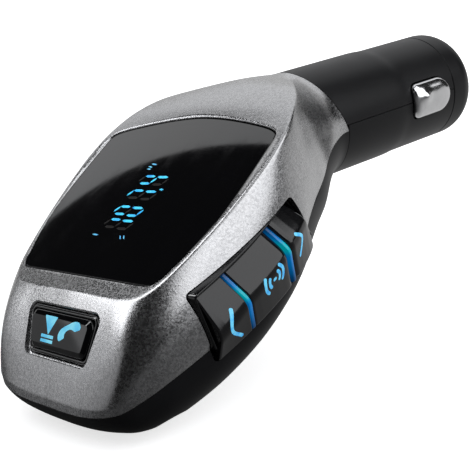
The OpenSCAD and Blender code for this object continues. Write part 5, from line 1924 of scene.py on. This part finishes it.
@dataclass(frozen=True)
class Softbox:
    """A glowing panel that faces the object.

    Azimuth and elevation give its direction from the object, in degrees round from +X and over the horizon;
    width and height the angles from its middle to its sides and its top, roll its turn in its own plane, and
    away its distance in millimetres. The power is its radiance.
    """

    name: str
    azimuth: float
    elevation: float
    width: float
    height: float
    roll: float
    power: float
    away: float = 900.0
    aim: tuple[float, float, float] = (0, -30, -10)

    def place(self) -> Place:
        """The panel's frame, whose z looks at the object.

        Returns:
            The frame.
        """
        way = turn_about(Axis.Z, self.azimuth) @ turn_about(Axis.Y, -self.elevation)
        facing = way @ turn_about(Axis.X, self.roll) @ np.array([[0, 0, -1], [1, 0, 0], [0, -1, 0]])
        return Place(way @ np.array([self.away, 0, 0]) + self.aim, facing)

    def form(self) -> Form:
        """The panel: rings from its middle out to a rectangle with round corners.

        Returns:
            The open form.
        """
        half = self.away * np.tan(np.radians([self.width, self.height]))
        shape = rounded(np.array([[1, 1], [-1, 1], [-1, -1], [1, -1]]) * half, 0.3 * float(half.min()))
        rings = shape[None] * np.linspace(0, 1, 5)[:, None, None]
        return Form().sheet(np.concatenate([rings, 0 * rings[..., :1]], -1), ring=True, turned=True)


@dataclass
class Studio:
    """The paper, the lights, the reflecting panels and the camera."""

    floor_z: float = -34.9
    paper_half: float = 2500.0
    paper_flat: float = 1600.0
    paper_sweep: float = 600.0
    paper_top: float = 1400.0
    overhead_arc: tuple[float, float, float] = (-560.0, -576.0, 648.0)
    overhead_span: Pair = (-1000.0, 85.0)
    overhead_end: float = 1350.0
    overhead_height: float = 500.0
    card_half: float = 60.0
    card_arch: tuple[float, float, float] = (-12.0, 8.0, 74.0)
    card_at: tuple[float, float, float] = (-505.7, -360.3, 94.1)
    card_axes: tuple[tuple[float, float, float], ...] = ((0.509, 0.162, -0.845), (-0.861, 0.096, -0.5),
        (0, 0.982, 0.188))
    camera_at: tuple[float, float, float] = (0.140717, -0.134234, 0.028824)
    camera_axes: tuple[tuple[float, float, float], ...] = ((0.64772812, -0.06168413, 0.75937037),
        (0.73879878, 0.29428928, -0.60627566), (-0.18607698, 0.95372369, 0.2361916))
    focal_length: float = 80.57
    room_light: float = 0.012
    overhead_power: float = 0.78
    card_power: float = 0.9
    softboxes: tuple[Softbox, ...] = (Softbox("strip_left", -151.5, 41.9, 4.9, 22.4, 14, 4.6),
        Softbox("box_right", 14.3, 29.1, 35.4, 30, -60, 1.65), Softbox("strip_top", -54, 62, 7.3, 16.7, 34.5, 1.6),
        Softbox("strip_right", -33, 37, 3.5, 24, 36, 2.3), Softbox("fill_left", -146, 9, 27, 15, 0, 0.34, 1100))

    @staticmethod
    def stage(form: Form, name: str, finish: Finish, place: Place = PLUG, seen: bool = False) -> None:
        """Makes a piece of the studio.

        Args:
            form: Its form, in the place's frame.
            name: Its name.
            finish: Its finish.
            place: Where it stands.
            seen: Whether the camera sees it; a panel that only lights and mirrors isn't seen.
        """
        piece = form.mesh(name, place)
        piece.visible_camera = seen
        finish.dress(piece)

    def paper(self) -> None:
        """The floor, swept up behind the object so that no horizon shows: flat, a quarter circle, and a wall."""
        sweep, turn = self.paper_sweep, np.linspace(0, math.pi / 2, 24)[1:]
        way = np.linspace(-self.paper_half, self.paper_flat, 60)
        depth = np.concatenate([way, self.paper_flat + sweep * np.sin(turn), [self.paper_flat + sweep]])
        height = np.concatenate([0 * way, sweep - sweep * np.cos(turn), [self.paper_top]])
        across = np.linspace(-self.paper_half, self.paper_half, 41)
        grid = np.stack(np.broadcast_arrays(across[None, :], depth[:, None], height[:, None]), -1)
        place = Place(np.array([0, 0, self.floor_z]), SIGHT.turn)
        self.stage(Form().sheet(grid), "studio_paper", StudioPaper("studio_paper"), place, seen=True)

    def overhead(self) -> None:
        """The overhead panel, which shows as a soft band in the window.

        It begins on a hollow arc, a circle given by its middle and its radius.
        """
        x, (mid_x, mid_y, r) = np.linspace(*self.overhead_span, 61), self.overhead_arc
        edge = mid_y + np.sqrt(r**2 - (x - mid_x) ** 2)
        y = edge + (self.overhead_end - edge) * np.linspace(0, 1, 9)[:, None]
        form = Form().sheet(np.stack([x + 0 * y, y, self.overhead_height + 0 * y], -1), turned=True)
        self.stage(form, "overhead_panel", GlowPanel("overhead_glow", self.overhead_power))

    def card(self) -> None:
        """The low card, whose lower edge is an arch: its crown's height less (x - its middle)^2 / its spread."""
        half, (middle, crown, spread) = self.card_half, self.card_arch
        x = np.linspace(-half, half, 25)
        edge = crown - (x - middle) ** 2 / spread
        y = edge + (half - edge) * np.linspace(0, 1, 5)[:, None]
        place = Place(np.array(self.card_at), np.array(self.card_axes))
        form = Form().sheet(np.stack([x + 0 * y, y, 0 * y], -1))
        self.stage(form, "low_card", GlowPanel("low_glow", self.card_power), place)

    def air(self) -> None:
        """The room's dim light; past the paper's edges the camera sees it pale."""
        world = bpy.data.worlds.new("studio_air")
        world.use_nodes = True
        tree = world.node_tree
        back, rays = tree.nodes["Background"], tree.nodes.new("ShaderNodeLightPath")
        back.inputs[0].default_value = (1.0, 1.0, 1.0, 1.0)
        pale = tree.nodes.new("ShaderNodeMapRange")
        pale.inputs["To Min"].default_value, pale.inputs["To Max"].default_value = self.room_light, 1.0
        tree.links.new(rays.outputs["Is Camera Ray"], pale.inputs["Value"])
        tree.links.new(pale.outputs["Result"], back.inputs[1])
        bpy.context.scene.world = world

    def camera(self) -> None:
        """The camera, a long lens a little over the object."""
        lens = bpy.data.cameras.new("camera")
        lens.lens, lens.sensor_width, lens.clip_start = self.focal_length, 36.0, 0.01
        made = bpy.data.objects.new("camera", lens)
        made.matrix_world = Matrix.Translation(self.camera_at) @ Matrix(self.camera_axes).to_4x4()
        bpy.context.scene.collection.objects.link(made)
        bpy.context.scene.camera = made

    def build(self) -> None:
        """Makes the studio."""
        bpy.context.scene.view_settings.view_transform = "Standard"
        self.paper()
        self.overhead()
        self.card()
        for box in self.softboxes:
            self.stage(box.form(), box.name, GlowPanel(box.name + "_glow", box.power), box.place())
        self.air()
        self.camera()


def main() -> None:
    """Builds the transmitter and its studio, and reports each piece."""
    logging.basicConfig(level=logging.INFO, format="%(message)s")
    finishes = Finishes()
    for part in (Shells, Display, FrontButton, SideKeys, Plug, Works):
        part(finishes).build()
    Studio().build()


if __name__ == "__main__":
    main()
